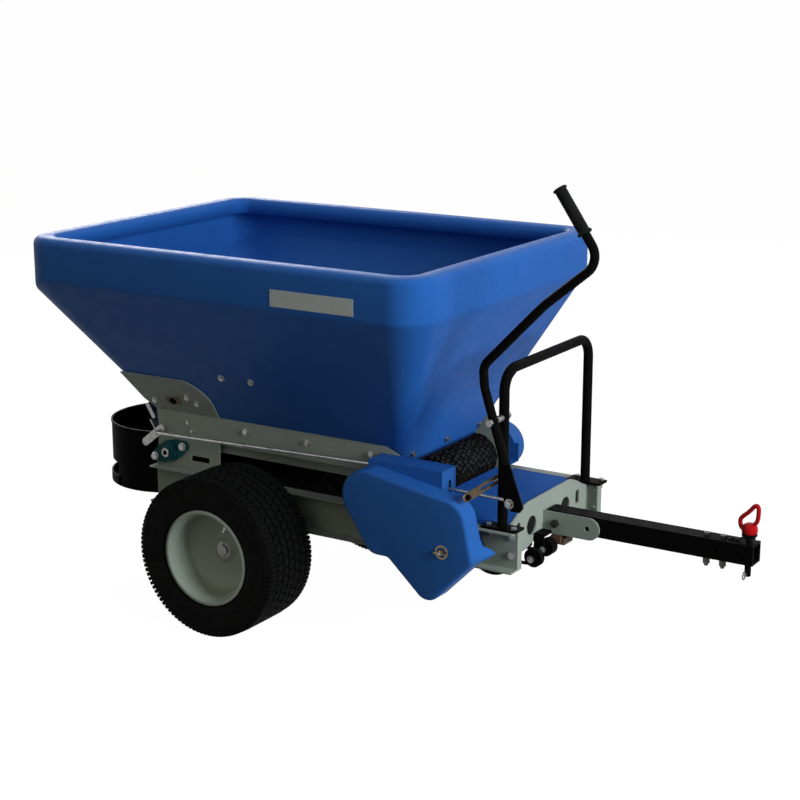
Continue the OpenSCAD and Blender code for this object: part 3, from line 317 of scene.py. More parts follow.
# %% [markdown]
# Tyre rubber is nearly black and matt, a little shinier in patches, with a film of grey dust here and
# there. The grip is softer rubber with a finer skin.

# %% Rubbers
RUBBER_SHINE = 0.035


def rubber_finish(name, colour, dusty, rough, dust, pore):
    tree, skin = new_finish(name, colour, rough)
    skin.inputs["Specular IOR Level"].default_value = RUBBER_SHINE
    spread = ranged(tree, noise(tree, 0.05, 5.0), 0.42, 0.75, 0.0, dust)
    tree.links.new(tint(tree, spread, colour, dusty), skin.inputs["Base Color"])
    mottled(tree, skin, rough, size=0.015, detail=3.0, shinier=0.08, duller=0.1)
    soft_edges(tree, skin, 0.0010, noise(tree, pore, 3.0), 0.0004, 0.35)


rubber_finish("tyre_rubber", (0.0065, 0.0065, 0.0065), (0.020, 0.018, 0.016),
              rough=0.68, dust=0.2, pore=0.0018)
rubber_finish("grip_rubber", (0.012, 0.012, 0.012), (0.04, 0.04, 0.04), rough=0.5, dust=0.2, pore=0.0012)
print("rubbers ready")

# %% [markdown]
# The conveyor belt has a rough top: slanted rows of small raised lumps, some lower than others, so that
# compost can't slide back. The rows follow the belt round its rollers, so they are drawn on the belt's
# own UV map, one unit to a hundred millimetres along and across.

# %% Rough top belt
def rough_top():
    tree, skin = new_finish("belt_rubber", (0.016, 0.016, 0.017), 0.55)
    skin.inputs["Specular IOR Level"].default_value = 0.05
    sheet = add(tree, "ShaderNodeUVMap", uv_map="belt").outputs["UV"]
    wander = noise(tree, 0.30, 2.0, source=sheet)
    turn = add(tree, "ShaderNodeMapping", Scale=(8.0, 5.2, 1.0), Rotation=(0.0, 0.0, 0.5))
    cells = add(tree, "ShaderNodeTexVoronoi", Scale=1.0, Randomness=0.4)
    tree.links.new(sheet, turn.inputs["Vector"])
    tree.links.new(turn.outputs[0], cells.inputs["Vector"])
    lump = ranged(tree, cells.outputs["Distance"], 0.22, 0.52, 1.0, 0.0)
    height = add(tree, "ShaderNodeMath", operation="MULTIPLY")
    tree.links.new(lump, height.inputs[0])
    tree.links.new(ranged(tree, wander, 0.3, 0.7, 0.5, 1.0), height.inputs[1])
    bump = add(tree, "ShaderNodeBump", Strength=1.0, Distance=0.005)
    tree.links.new(height.outputs[0], bump.inputs["Height"])
    tree.links.new(bump.outputs[0], skin.inputs["Normal"])
    # The gaps between the lumps are painted near black as painted shade in the recesses; the lumps keep the
    # rubber's dark grey.
    shade = tint(tree, lump, (0.0015, 0.0015, 0.0015), (0.024, 0.024, 0.025))
    tree.links.new(shade, skin.inputs["Base Color"])
    tree.links.new(ranged(tree, lump, 0.0, 1.0, 0.8, 0.5), skin.inputs["Roughness"])


rough_top()
rubber_finish("plain_belt", (0.014, 0.014, 0.014), (0.05, 0.05, 0.05), rough=0.6, dust=0.3, pore=0.0015)
print("belt finish ready")

# %% [markdown]
# The rest are single small pieces: sand-cast bearing housings in teal enamel, a dipped red pin handle,
# a bare pale plate on the rim band where a maker would put a name, and the dull brown of the block
# under the drawbar and of the pivot plate.

# %% Teal casting, red dip, pale plate, brown block
def small_finish(name, colour, other, rough, patch, pore, depth, wear=0.0, shine=0.3):
    tree, skin = new_finish(name, colour, rough)
    skin.inputs["Specular IOR Level"].default_value = shine
    base = tint(tree, ranged(tree, noise(tree, patch, 3.0), 0.35, 0.7, 0.0, 1.0), colour, other)
    soft = soft_edges(tree, skin, 0.0008, noise(tree, pore, 3.0), depth, 0.5)
    rubbed = tint(tree, worn(tree, soft, wear), base, (0.30, 0.30, 0.29))
    tree.links.new(rubbed, skin.inputs["Base Color"])
    mottled(tree, skin, rough, size=patch * 0.5, detail=2.0, shinier=0.05, duller=0.08)


small_finish("bearing_cast", (0.003, 0.075, 0.082), (0.002, 0.055, 0.062),
             rough=0.45, patch=0.03, pore=0.0028, depth=0.0008, wear=0.1, shine=0.15)
small_finish("red_paint", (0.50, 0.004, 0.006), (0.40, 0.003, 0.005),
             rough=0.34, patch=0.02, pore=0.004, depth=0.0002, shine=0.15)
small_finish("pale_plate", (0.62, 0.68, 0.65), (0.57, 0.63, 0.60),
             rough=0.45, patch=0.05, pore=0.0015, depth=0.0001)
small_finish("brown_block", (0.20, 0.12, 0.075), (0.14, 0.085, 0.055),
             rough=0.5, patch=0.02, pore=0.002, depth=0.0003, wear=0.3)
print("finishes:", len(finishes))

# %% [markdown]
# The record names one material slot per node, so one loop gives every CAD solid its finish. OWN lists
# the few that take another one. Both belts' CAD solids lack the UV map that the rough top needs, and
# some parts show another metal, black or a duller blue in the photograph.

# %% Dress the CAD solids
slot_of = {sub["node"]: sub["material_slot"] for sub in frame["record"]["subparts"]}
# The tongue bolts and the hitch clip are zinc; their darker steel is painted shade, for the dark room that
# shiny zinc mirrors.
OWN = {"conveyor_belt": "plain_belt", "drive_belt": "plain_belt", "deck_cover": "deck_sheet",
       "discharge_pan": "black_paint", "axle_end_caps": "bare_steel", "valve_right": "zinc_plate",
       "valve_left": "zinc_plate", "tongue_bolts": "chain_steel", "hitch_clip": "bare_steel"}
for name, solid in nodes.items():
    finish = finishes[OWN.get(name, slot_of[name])]
    for holder in solid.material_slots:
        holder.material = finish
print("dressed", len(slot_of), "nodes")

# %% [markdown]
# One helper turns each new bmesh into an object: doubles merged, normals out, smooth with sharp
# creases, its finish, its body and the CAD nodes that it stands for. Another gives sheet its wall.

# %% From bmesh to finished piece
def finish_piece(name, bm, body, slot, stands_for=(), crease=32.0):
    bmesh.ops.remove_doubles(bm, verts=bm.verts[:], dist=0.00001)
    bmesh.ops.recalc_face_normals(bm, faces=bm.faces[:])
    mesh = bpy.data.meshes.new(name)
    bm.to_mesh(mesh)
    bm.free()
    mesh.shade_smooth()
    mesh.set_sharp_from_angle(angle=math.radians(crease))
    mesh.materials.append(finishes[slot])
    piece = bpy.data.objects.new(name, mesh)
    bpy.context.scene.collection.objects.link(piece)
    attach(piece, body)
    if stands_for:
        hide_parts(*stands_for)
    print(name, "faces:", len(mesh.polygons))
    return piece


def thickened(piece, thickness, offset):
    wall = piece.modifiers.new("wall", "SOLIDIFY")
    wall.thickness = thickness
    wall.offset = offset


print("helpers ready: finish_piece, thickened")

# %% [markdown]
# The shapes come from a few operators. lathe spins a chain of (radius, height) points about Z, and laid
# turns that work to another direction. raised extrudes faces and moves them, rounded bevels edges, and
# joined adds one bmesh to another, so that each small shape can be made at the origin first.

# %% Lathe and other shape helpers
def lathe(bm, chain, steps, closed=False):
    points = [bm.verts.new((r / 1000, 0.0, h / 1000)) for r, h in chain]
    pairs = list(zip(points, points[1:])) + ([(points[-1], points[0])] if closed else [])
    edges = [bm.edges.new(pair) for pair in pairs]
    bmesh.ops.spin(bm, geom=points + edges, cent=(0, 0, 0), axis=(0, 0, 1), angle=2 * math.pi,
                   steps=steps, use_merge=True)
    bmesh.ops.remove_doubles(bm, verts=bm.verts[:], dist=0.000002)


def laid(bm, place, direction, verts=None):
    turn = Vector(direction).to_track_quat("Z", "Y").to_matrix().to_4x4()
    bmesh.ops.transform(bm, matrix=Matrix.Translation(place) @ turn, verts=verts or bm.verts[:])


def of_kind(made, kind):
    return [item for item in made if isinstance(item, kind)]


def raised(bm, faces, move):
    made = bmesh.ops.extrude_face_region(bm, geom=faces)["geom"]
    bmesh.ops.translate(bm, verts=of_kind(made, bmesh.types.BMVert), vec=move)
    return made


def rounded(bm, edges, radius, segments=2, clamp=False):
    bmesh.ops.bevel(bm, geom=edges, offset=radius, segments=segments, affect="EDGES", profile=0.5,
                    material=-1, clamp_overlap=clamp)


def joined(bm, part):
    spare = bpy.data.meshes.new("part")
    part.to_mesh(spare)
    part.free()
    bm.from_mesh(spare)
    bpy.data.meshes.remove(spare)


print("helpers ready: lathe, laid, raised, rounded, joined")

# %% [markdown]
# ## Hopper
# The hopper is one sheet: four sloped walls, an upright band, a rolled rim and a short skirt inside.
# It starts as a flat outline with rounded corners, is extruded ring by ring, each ring moved to its
# own size and height, and a Solidify modifier gives the wall. The rear wall meets the band lower than
# the others do, so the ring sinks toward the rear over its corners. Long ruled corners follow.

# %% Hopper sheet, ring by ring
def outline_points(x0, x1, half, radius, parts=12):
    points = []
    for cx, cy, start in ((x1 - radius, half - radius, 0), (x0 + radius, half - radius, 90),
                          (x0 + radius, radius - half, 180), (x1 - radius, radius - half, 270)):
        for i in range(parts + 1):
            turn = math.radians(start + 90 * i / parts)
            points.append((cx + radius * math.cos(turn), cy + radius * math.sin(turn)))
    return points


RINGS = (  # rear, front, half width, corner radius, height, height at the rear
    (-322, 418, 190, 24, 450, 450),
    (-330.5, 426.5, 201.3, 26, 467, 467),
    (-592, 629, 471.5, 88, 876.7, 836),
    (-595, 631.4, 474.3, 90, 882, 842),
    (-596, 632, 475, 90, 890, 850),
    (-596, 632, 475, 90, 974, 974),
    (-595, 631, 474, 90, 981, 981),
    (-590.5, 626.5, 469.5, 86, 988, 988),
    (-584, 620, 463, 80, 992.3, 992.3),
    (-576, 612, 455, 72, 994, 994),
    (-554, 590, 433, 54, 994, 994),
    (-547, 583, 426, 48, 992, 992),
    (-542, 578, 421, 44, 986.5, 986.5),
    (-540, 576, 419, 42, 978, 978),
    (-540, 576, 419, 42, 950, 950),
)


def hopper_sheet():
    bm = bmesh.new()
    rear, front, half, radius, z, _ = RINGS[0]
    ring = [bm.verts.new(spot(x, y, z)) for x, y in outline_points(rear, front, half, radius)]
    edges = [bm.edges.new(pair) for pair in zip(ring, ring[1:] + ring[:1])]
    for rear, front, half, radius, z, rear_z in RINGS[1:]:
        order = {tuple(round(c, 6) for c in v.co): i for i, v in enumerate(ring)}
        made = bmesh.ops.extrude_edge_only(bm, edges=edges)["geom"]
        fresh = of_kind(made, bmesh.types.BMVert)
        edges = [e for e in of_kind(made, bmesh.types.BMEdge) if all(v in fresh for v in e.verts)]
        ring = sorted(fresh, key=lambda v: order[tuple(round(c, 6) for c in v.co)])
        for v, (x, y) in zip(ring, outline_points(rear, front, half, radius)):
            toward_rear = min(1.0, max(0.0, (rear + radius - x) / radius)) ** 2
            v.co = spot(x, y, z + (rear_z - z) * toward_rear)
    return bm


sheet = hopper_sheet()
print("hopper rings:", len(RINGS), "faces:", len(sheet.faces))

# %% [markdown]
# The compost leaves through a window low in the rear wall. Two upright cuts and one level cut mark it
# out with bisect_plane, and the faces inside are deleted before the sheet gets its thickness.

# %% Window in the rear wall and wall thickness
WINDOW_HALF = 165
WINDOW_TOP = 512
REAR_BAND_FOOT = 840
REAR_WALL_X = -300


def rear_faces(bm):
    return [f for f in bm.faces if f.normal.x < -0.6 and f.calc_center_median().z < REAR_BAND_FOOT / 1000
            and f.calc_center_median().x < spot(REAR_WALL_X, 0, 0).x]


def in_window(face):
    middle = face.calc_center_median()
    return middle.z < WINDOW_TOP / 1000 and abs(middle.y) < WINDOW_HALF / 1000


bmesh.ops.recalc_face_normals(sheet, faces=sheet.faces[:])
if sum(f.normal.z for f in sheet.faces if f.calc_center_median().z > 0.99) < 0:
    bmesh.ops.reverse_faces(sheet, faces=sheet.faces[:])
for point, normal in ((spot(0, -WINDOW_HALF, 0), (0, 1, 0)), (spot(0, WINDOW_HALF, 0), (0, 1, 0)),
                      (spot(0, 0, WINDOW_TOP), (0, 0, 1))):
    part = rear_faces(sheet)
    cut = part + list({e for f in part for e in f.edges}) + list({v for f in part for v in f.verts})
    bmesh.ops.bisect_plane(sheet, geom=cut, plane_co=point, plane_no=normal, dist=0.000001)
gone = [f for f in rear_faces(sheet) if in_window(f)]
bmesh.ops.delete(sheet, geom=gone, context="FACES")
hopper_shell = finish_piece("hopper_shell", sheet, "frame", "hopper_plastic", ["hopper"], crease=50)
thickened(hopper_shell, thickness=0.006, offset=-1.0)
print("window faces cut:", len(gone))

# %% [markdown]
# ## Tyres
# A turf tyre is a round-shouldered carcass with a shallow block tread: short shoulder lugs and rows of
# slanted blocks between narrow grooves. The carcass is one spun section. One pitch of tread is cut
# from cubes and the spin operator repeats it round the wheel as duplicates.

# %% Tyre carcass section
TYRE_WIDTH = 190
SIDE = ((115.5, 22), (119, 14.5), (126, 12.4), (131, 9.5), (136, 7.6), (138, 5.2), (141, 4.6), (152, 1.6),
        (164, 0.3), (178, 0.3), (189, 1.4), (196, 3.2), (201.5, 6.2), (204.8, 10.5), (206, 17), (206.2, 44))
INNER = ((190, 26), (150, 15), (128, 24), (115.5, 28))
PITCHES = 52


def carcass(bm):
    outer = list(SIDE) + [(206.4, TYRE_WIDTH / 2)] + [(r, TYRE_WIDTH - h) for r, h in reversed(SIDE)]
    inner = [(r, TYRE_WIDTH - h) for r, h in reversed(INNER)] + list(INNER)
    lathe(bm, outer + inner, steps=90, closed=True)


print("carcass section points:", 2 * len(SIDE) + 1 + 2 * len(INNER), "tread pitches:", PITCHES)

# %% [markdown]
# Each block is a cube squeezed to size, pulled askew like the real slanted blocks and narrower at the
# top. The five middle rows lean, neighbouring rows opposite ways, and the lugs on the shoulders run
# straight across. A block's face inside the carcass is never seen, so it is deleted.

# %% Tread blocks and shoulder lugs
BLOCK_WIDTH = 21.0
BLOCK_LENGTH = 21.6
TREAD_FOOT = 205
TREAD_TOP = 212
LEAN = 7.0
ROWS = (46, 70.5, 95, 119.5, 144)


def block(bm, angle, along, lean):
    made = bmesh.ops.create_cube(bm, size=1.0)["verts"]
    for v in made:
        top = v.co.x > 0
        taper = 0.86 if top else 1.0
        around = (v.co.y * BLOCK_LENGTH * taper + v.co.z * lean) / 1000
        across = (along + v.co.z * BLOCK_WIDTH * taper) / 1000
        v.co = Vector(((TREAD_TOP if top else TREAD_FOOT) / 1000, around, across))
    own = [f for f in bm.faces if all(v in made for v in f.verts)]
    under = [f for f in own if f.calc_center_median().x < (TREAD_FOOT + 0.1) / 1000]
    bmesh.ops.delete(bm, geom=under, context="FACES_ONLY")
    bmesh.ops.rotate(bm, verts=made, cent=(0, 0, 0), matrix=Matrix.Rotation(angle, 3, "Z"))


def lug(bm, angle, side):
    made = bmesh.ops.create_cube(bm, size=1.0)["verts"]
    for v in made:
        outer = (v.co.z < 0) == (side == 0)
        top = v.co.x > 0
        from_side = (6.0 if top else 0.8) if outer else 32.0
        along = from_side if side == 0 else TYRE_WIDTH - from_side
        radius = (210.2 if outer else TREAD_TOP) if top else (192 if outer else 204)
        v.co = Vector((radius / 1000, v.co.y * (8.6 if top else 9.6) / 1000, along / 1000))
    bmesh.ops.rotate(bm, verts=made, cent=(0, 0, 0), matrix=Matrix.Rotation(angle, 3, "Z"))


def one_pitch(bm):
    step = 2 * math.pi / PITCHES
    for row, along in enumerate(ROWS):
        block(bm, step * (0.5 if row % 2 else 0.0), along, LEAN if row % 2 else -LEAN)
    for half in (0.0, 0.5):
        for side in (0, 1):
            lug(bm, step * (half + 0.25), side)


print("tread rows:", len(ROWS) + 2)

# %% [markdown]
# One pitch goes round the wheel as duplicates, the carcass goes round as one skin. Tyres and rims are
# both drawn with their axis on Z, so one helper turns such a piece to its wheel's place on the axle.

# %% Both tyres
WHEEL_Y = 488
WHEELS = ((-1, "right", "axle_set"), (1, "left", "left_wheel"))


def tread(bm):
    pitch = bmesh.new()
    one_pitch(pitch)
    turn = 2 * math.pi * (PITCHES - 1) / PITCHES
    everything = pitch.verts[:] + pitch.edges[:] + pitch.faces[:]
    bmesh.ops.spin(pitch, geom=everything, cent=(0, 0, 0), axis=(0, 0, 1), angle=turn, steps=PITCHES - 1,
                   use_duplicate=True)
    joined(bm, pitch)


def on_axle(bm, side):
    place = Matrix.Translation(spot(0, side * WHEEL_Y, AXLE_Z))
    bmesh.ops.transform(bm, matrix=place @ Matrix.Rotation(side * math.pi / 2, 4, "X"), verts=bm.verts[:])


for side, label, body in WHEELS:
    tyre = bmesh.new()
    carcass(tyre)
    tread(tyre)
    on_axle(tyre, side)
    finish_piece(f"turf_tyre_{label}", tyre, body, "tyre_rubber", [f"tyre_{label}"], crease=40)

# %% [markdown]
# ## Wheels
# The rim is pressed sheet: a rolled lip, a bead seat, a straight barrel and a disc set deep inside,
# with a long hub. The barrel and the disc are open spun chains that Solidify thickens, so both lips
# stay round and thin as on a pressing.

# %% Rim, disc and hub
LIP = ((119.5, 11.5), (123.5, 12), (126, 9.5), (125.5, 6.5), (122.5, 5.2), (119, 6.2), (116.8, 10), (115, 15),
       (112.4, 19), (110, 21.5), (109.2, 26))
DISC = ((109.2, 58), (108.2, 66), (105.5, 73), (101, 79), (94, 84), (82, 88.6), (68, 92.4), (56, 94),
        (44, 94.4), (33, 94.2), (29.5, 92.6), (27.5, 90), (25.5, 88.6), (13, 88.6))
HUB = ((13, 90), (27, 90), (28, 94), (28, 184), (26.5, 186), (13, 186))
BARREL = list(LIP) + [(109.2, TYRE_WIDTH / 2)] + [(r, TYRE_WIDTH - h) for r, h in reversed(LIP)]

for side, label, body in WHEELS:
    rim = bmesh.new()
    lathe(rim, BARREL, steps=96)
    lathe(rim, DISC, steps=96)
    lathe(rim, HUB, steps=48)
    on_axle(rim, side)
    wheel = finish_piece(f"rim_{label}", rim, body, "wheel_paint", [f"wheel_{label}"], crease=40)
    thickened(wheel, thickness=0.0025, offset=0.0)

# %% [markdown]
# ## Conveyor belt
# The belt is a closed loop round both rollers. Its line is drawn once in X and Z, extruded across the
# machine and thickened outward. The UV map is filled from the distance along the loop, because the
# rough top pattern has to follow the belt and not the room.

# %% Belt loop with its own map
REAR_ROLL = (-302, 395, 44.8)
FRONT_ROLL = (411, 383, 56.8)
BELT_HALF = 204


def belt_line(parts=26):
    (ax, az, ra), (bx, bz, rb) = REAR_ROLL, FRONT_ROLL
    lean = math.degrees(math.atan2(bz - az, bx - ax))
    off = math.degrees(math.asin((ra - rb) / math.hypot(bx - ax, bz - az)))
    line = []
    for cx, cz, r, start, end in ((ax, az, ra, lean + 90 - off, lean + 270 + off),
                                  (bx, bz, rb, lean - 90 + off, lean + 90 - off)):
        for i in range(parts + 1):
            turn = math.radians(start + (end - start) * i / parts)
            line.append((cx + r * math.cos(turn), cz + r * math.sin(turn)))
    return line


def belt_loop():
    bm = bmesh.new()
    line = belt_line()
    right = [bm.verts.new(spot(x, -BELT_HALF, z)) for x, z in line]
    edges = [bm.edges.new(pair) for pair in zip(right, right[1:] + right[:1])]
    left = of_kind(bmesh.ops.extrude_edge_only(bm, edges=edges)["geom"], bmesh.types.BMVert)
    bmesh.ops.translate(bm, verts=left, vec=(0, 2 * BELT_HALF / 1000, 0))
    grid = bm.loops.layers.uv.new("belt")
    walked = [0.0]
    for (x0, z0), (x1, z1) in zip(line, line[1:] + line[:1]):
        walked.append(walked[-1] + math.hypot(x1 - x0, z1 - z0))
    places = [spot(x, 0, z) for x, z in line]
    near = {(round(place.x, 4), round(place.z, 4)): s for place, s in zip(places, walked)}
    for face in bm.faces:
        along = [near[(round(c.vert.co.x, 4), round(c.vert.co.z, 4))] for c in face.loops]
        for corner, s in zip(face.loops, along):
            s = walked[-1] if s == 0.0 and max(along) > walked[-1] / 2 else s
            corner[grid].uv = (s / 100, corner.vert.co.y * 10)
    return bm, walked[-1]


loop, length = belt_loop()
bmesh.ops.recalc_face_normals(loop, faces=loop.faces[:])
belt = finish_piece("rough_top_belt", loop, "frame", "belt_rubber", ["conveyor_belt"], crease=50)
thickened(belt, thickness=0.006, offset=1.0)
print("belt length", round(length), "mm")

# %% [markdown]
# ## Chain guard
# The guard is a pressed tray with a generous radius between its face and its rim. The outline is five
# arcs, as on the drawing. It becomes one face, is extruded to the depth of the tray, and the bevel
# operator rounds the edge toward the viewer. The back stays open, because the chain runs in there. A
# small lug at the lower front of the back edge is pulled out by its nearest points.

# %% Chain guard tray
def arc(cx, cz, r, start, end, parts):
    turns = [math.radians(start + (end - start) * i / parts) for i in range(parts + 1)]
    return [(cx + r * math.cos(t), cz + r * math.sin(t)) for t in turns]


GUARD_BACK = -301
GUARD_FACE = -358
LUG_TIP = spot(714, 0, 303)
LUG_RADIUS = 0.022
GUARD = (arc(411, 409, 72, 200, 80, 16) + arc(636, 382, 60, 79, 10, 12)
         + [(701, 366), (706, 341), (710, 322), (712.5, 311)] + arc(693, 297, 22, 8, -42, 8)
         + arc(588, 213, 38, -44, -137, 12) + [(478, 262), (470, 266)] + arc(442, 305, 39, -88, -148, 8))


def guard_tray():
    bm = bmesh.new()
    back = bm.faces.new([bm.verts.new(spot(x, GUARD_BACK, z)) for x, z in GUARD])
    made = raised(bm, [back], (0, (GUARD_FACE - GUARD_BACK) / 1000, 0))
    for v in back.verts:
        near = 1 - math.hypot(v.co.x - LUG_TIP.x, v.co.z - LUG_TIP.z) / LUG_RADIUS
        if near > 0:
            bmesh.ops.translate(bm, verts=[v], vec=(0.024 * near, 0.033 * near, 0))
    rim = list(of_kind(made, bmesh.types.BMFace)[0].edges)
    flat_back = [f for f in bm.faces if all(abs(v.co.y - GUARD_BACK / 1000) < 1e-5 for v in f.verts)]
    bmesh.ops.delete(bm, geom=flat_back, context="FACES_ONLY")
    rounded(bm, rim, 0.009, segments=5, clamp=True)
    return bm


tray = finish_piece("guard_tray", guard_tray(), "frame", "guard_plastic", ["chain_guard"], crease=50)
thickened(tray, thickness=0.003, offset=-1.0)

# %% [markdown]
# Flat parts with rounded edges come up several times. One helper makes a face from an outline drawn in
# X and Z, extrudes it across the machine and bevels every edge.

# %% Plate with rounded edges
def plate(outline, y0, y1, round_off):
    bm = bmesh.new()
    side = bm.faces.new([bm.verts.new(spot(x, y0, z)) for x, z in outline])
    raised(bm, [side], (0, (y1 - y0) / 1000, 0))
    bmesh.ops.recalc_face_normals(bm, faces=bm.faces[:])
    rounded(bm, bm.edges[:], round_off / 1000, clamp=True)
    return bm


print("helper ready: plate")

# %% [markdown]
# ## Wires, handles and fasteners
# The pin's handle is bent rod. A ring is made once and extruded from point to point along a path,
# turned each time to the new direction, which is what the real bender does to a straight bar. A path
# with sharp corners is softened first by cutting them a few times.

# %% Bent wire
def softened(points, rounds=3):
    for _ in range(rounds):
        cut = [q for a, b in zip(points, points[1:]) for q in (a.lerp(b, 0.25), a.lerp(b, 0.75))]
        points = [points[0]] + cut[1:-1] + [points[-1]]
    return points


def wire(bm, path, radius, sides=14):
    aim = [(b - a).normalized() for a, b in zip([path[0]] + path[:-1], path[1:] + [path[-1]])]
    start = Matrix.Translation(path[0]) @ aim[0].to_track_quat("Z", "Y").to_matrix().to_4x4()
    ring = bmesh.ops.create_circle(bm, cap_ends=False, segments=sides, radius=radius / 1000,
                                   matrix=start)["verts"]
    edges = list({e for v in ring for e in v.link_edges})
    first = edges
    for i in range(1, len(path)):
        made = bmesh.ops.extrude_edge_only(bm, edges=edges)["geom"]
        ring = of_kind(made, bmesh.types.BMVert)
        edges = [e for e in of_kind(made, bmesh.types.BMEdge) if all(v in ring for v in e.verts)]
        turn = aim[i - 1].rotation_difference(aim[i]).to_matrix().to_4x4()
        move = Matrix.Translation(path[i]) @ turn @ Matrix.Translation(-path[i - 1])
        bmesh.ops.transform(bm, matrix=move, verts=ring)
    bmesh.ops.holes_fill(bm, edges=first + edges, sides=sides + 1)


print("helpers ready: softened, wire")

# %% [markdown]
# A wing nut on a broad washer ring holds the guard. Both are yellow zinc, turned on the lathe helper,
# and each wing is a small rounded plate tipped outward. The stud that they hold shows a bright end.

# %% Wing nut and stud
NUT_X, NUT_Z = 632, 309
WING = ((4.5, 1.5), (8.5, 2), (13, 6), (17, 11), (16.5, 14), (13.5, 14.6), (9.5, 11), (4.5, 8))
wing_nut = bmesh.new()
lathe(wing_nut, ((13.2, 0), (17.6, 0), (18, 0.4), (18, 1.6), (17.6, 2), (13.2, 2)), steps=48, closed=True)
lathe(wing_nut, ((4.2, 0), (8.4, 0), (8.4, 2), (6.2, 9.6), (5.4, 10), (4.2, 10)), steps=24, closed=True)
laid(wing_nut, spot(NUT_X, GUARD_FACE, NUT_Z), NEAR_SIDE)
for side in (-1, 1):
    wing = plate([(NUT_X + side * u, h) for u, h in WING], -1.7, 1.7, round_off=0.6)
    bmesh.ops.rotate(wing, verts=wing.verts[:], cent=(0, 0, 0), matrix=Matrix.Rotation(math.pi / 2, 3, "X"))
    bmesh.ops.translate(wing, verts=wing.verts[:], vec=(0, GUARD_FACE / 1000, NUT_Z / 1000))
    joined(wing_nut, wing)
finish_piece("wing_nut", wing_nut, "frame", "gold_zinc")

stud = bmesh.new()
lathe(stud, ((0, 0), (10, 0), (10, 7), (4, 7), (4, 147), (3.3, 148), (0, 148)), steps=20)
laid(stud, spot(NUT_X, -224, NUT_Z), NEAR_SIDE)
finish_piece("guard_stud", stud, "frame", "zinc_plate", ["guard_fastening"])

# %% [markdown]
# A gold coloured slotted bar stays the guard box to the upright leg. Its outline and its slot are two
# rounded loops with as many points each, so one bridge makes the flat face, and an extrusion the bar.

# %% Slotted bar
def stadium(x0, x1, radius, parts=8):
    turns = [math.pi * (i / parts - 0.5) for i in range(parts + 1)]
    right = [(x1 + radius * math.cos(t), radius * math.sin(t)) for t in turns]
    return right + [(x0 - radius * math.cos(t), -radius * math.sin(t)) for t in turns]


def flat_loop(bm, points):
    corners = [bm.verts.new((x / 1000, y / 1000, 0)) for x, y in points]
    return [bm.edges.new(pair) for pair in zip(corners, corners[1:] + corners[:1])]


BAR_HALF = 11.5
SLOT_HALF = 4.2
low_end, high_end = spot(684, -338, 450), spot(711, -214, 476)
along = (high_end - low_end).normalized()
upward = (Vector((0, 0, 1)) - along * along.z).normalized()
frame_of_bar = Matrix((along, upward, along.cross(upward))).transposed().to_4x4()
reach = (high_end - low_end).length * 1000
bar_start, bar_stop = 4, reach - 2
slot_start, slot_stop = 58, reach - 22
bar = bmesh.new()
rims = flat_loop(bar, stadium(bar_start, bar_stop, BAR_HALF))
rims += flat_loop(bar, stadium(slot_start, slot_stop, SLOT_HALF))
bmesh.ops.bridge_loops(bar, edges=rims)
raised(bar, bar.faces[:], (0, 0, 0.004))
bmesh.ops.transform(bar, matrix=Matrix.Translation(low_end) @ frame_of_bar, verts=bar.verts[:])
finish_piece("slotted_bar", bar, "frame", "gold_zinc", ["guard_strut"])
print("bar length", round(bar_stop - bar_start + 2 * BAR_HALF), "mm")

# %% [markdown]
# Some bolts show a bright head, and the one through the slotted bar a black one. Each is a six-sided
# cylinder with bevelled edges and a washer under it, laid along its own direction. All heads of one
# group are joined into one piece. The bolts on the side panel take their place and direction from the
# nearest point of its surface.

# %% Bolt heads
def hexagon(bm, radius, depth):
    return bmesh.ops.create_cone(bm, cap_ends=True, segments=6, radius1=radius, radius2=radius,
                                 depth=depth)["verts"]


def bolt_heads(name, body, finish, heads):
    bm = bmesh.new()
    for place, direction, radius, height in heads:
        head = bmesh.new()
        hexagon(head, radius / 1000, height / 1000)
        rounded(head, head.edges[:], 0.0009)
        bmesh.ops.translate(head, verts=head.verts[:], vec=(0, 0, height / 2000 + 0.001))
        lathe(head, ((0, 0), (radius * 1.3, 0), (radius * 1.3, 1.2), (0, 1.2)), steps=24)
        laid(head, place, direction)
        joined(bm, head)
    finish_piece(name, bm, body, finish)


PANEL_Y = -262


def on_panel(x, z):
    panel = nodes["side_panel_right"]
    inward = panel.matrix_world.inverted()
    _, place, normal, _ = panel.closest_point_on_mesh(inward @ spot(x, PANEL_Y, z))
    return panel.matrix_world @ place, (panel.matrix_world.to_3x3() @ normal).normalized()


bolt_heads("pulley_bolts", "frame", "zinc_plate",
           [(spot(752, -123.6, 243), NEAR_SIDE, 7, 5), (spot(768, -91.6, 262), NEAR_SIDE, 7, 5)])
off_bar = frame_of_bar.col[2].xyz
bolt_heads("bar_bolt", "frame", "black_paint",
           [(low_end + along * 0.006 + off_bar * 0.004, off_bar, 6.2, 6)])
bolt_heads("rod_eye_bolt", "rod", "zinc_plate", [(spot(760, -267, 437), NEAR_SIDE, 5.2, 4)])
bolt_heads("lever_bolt", "lever_arm", "zinc_plate", [(spot(775, -283, 436), NEAR_SIDE, 9.6, 8)])
PANEL_BOLTS = ((-300, 556), (-244, 558), (-243, 482), (-228, 458))
bolt_heads("panel_bolts", "frame", "zinc_plate", [(*on_panel(x, z), 4.6, 3.6) for x, z in PANEL_BOLTS])

# %% [markdown]
# High on the panel sits a rusty brown pivot plate with a dark hole in it, filled with a turned black knob as
# painted shade.
# The plate is the rounded loop again, filled and extruded, the knob is turned. Both are laid on the sloped
# part of the panel.

# %% Pivot plate and the painted shade of its hole
seat, outward = on_panel(-268, 545)
pivot = bmesh.new()
pivot_face = bmesh.ops.contextual_create(pivot, geom=flat_loop(pivot, stadium(-14, 14, 12)))["faces"]
raised(pivot, pivot_face, (0, 0, 0.003))
laid(pivot, seat, outward)
finish_piece("pivot_plate", pivot, "frame", "brown_block")

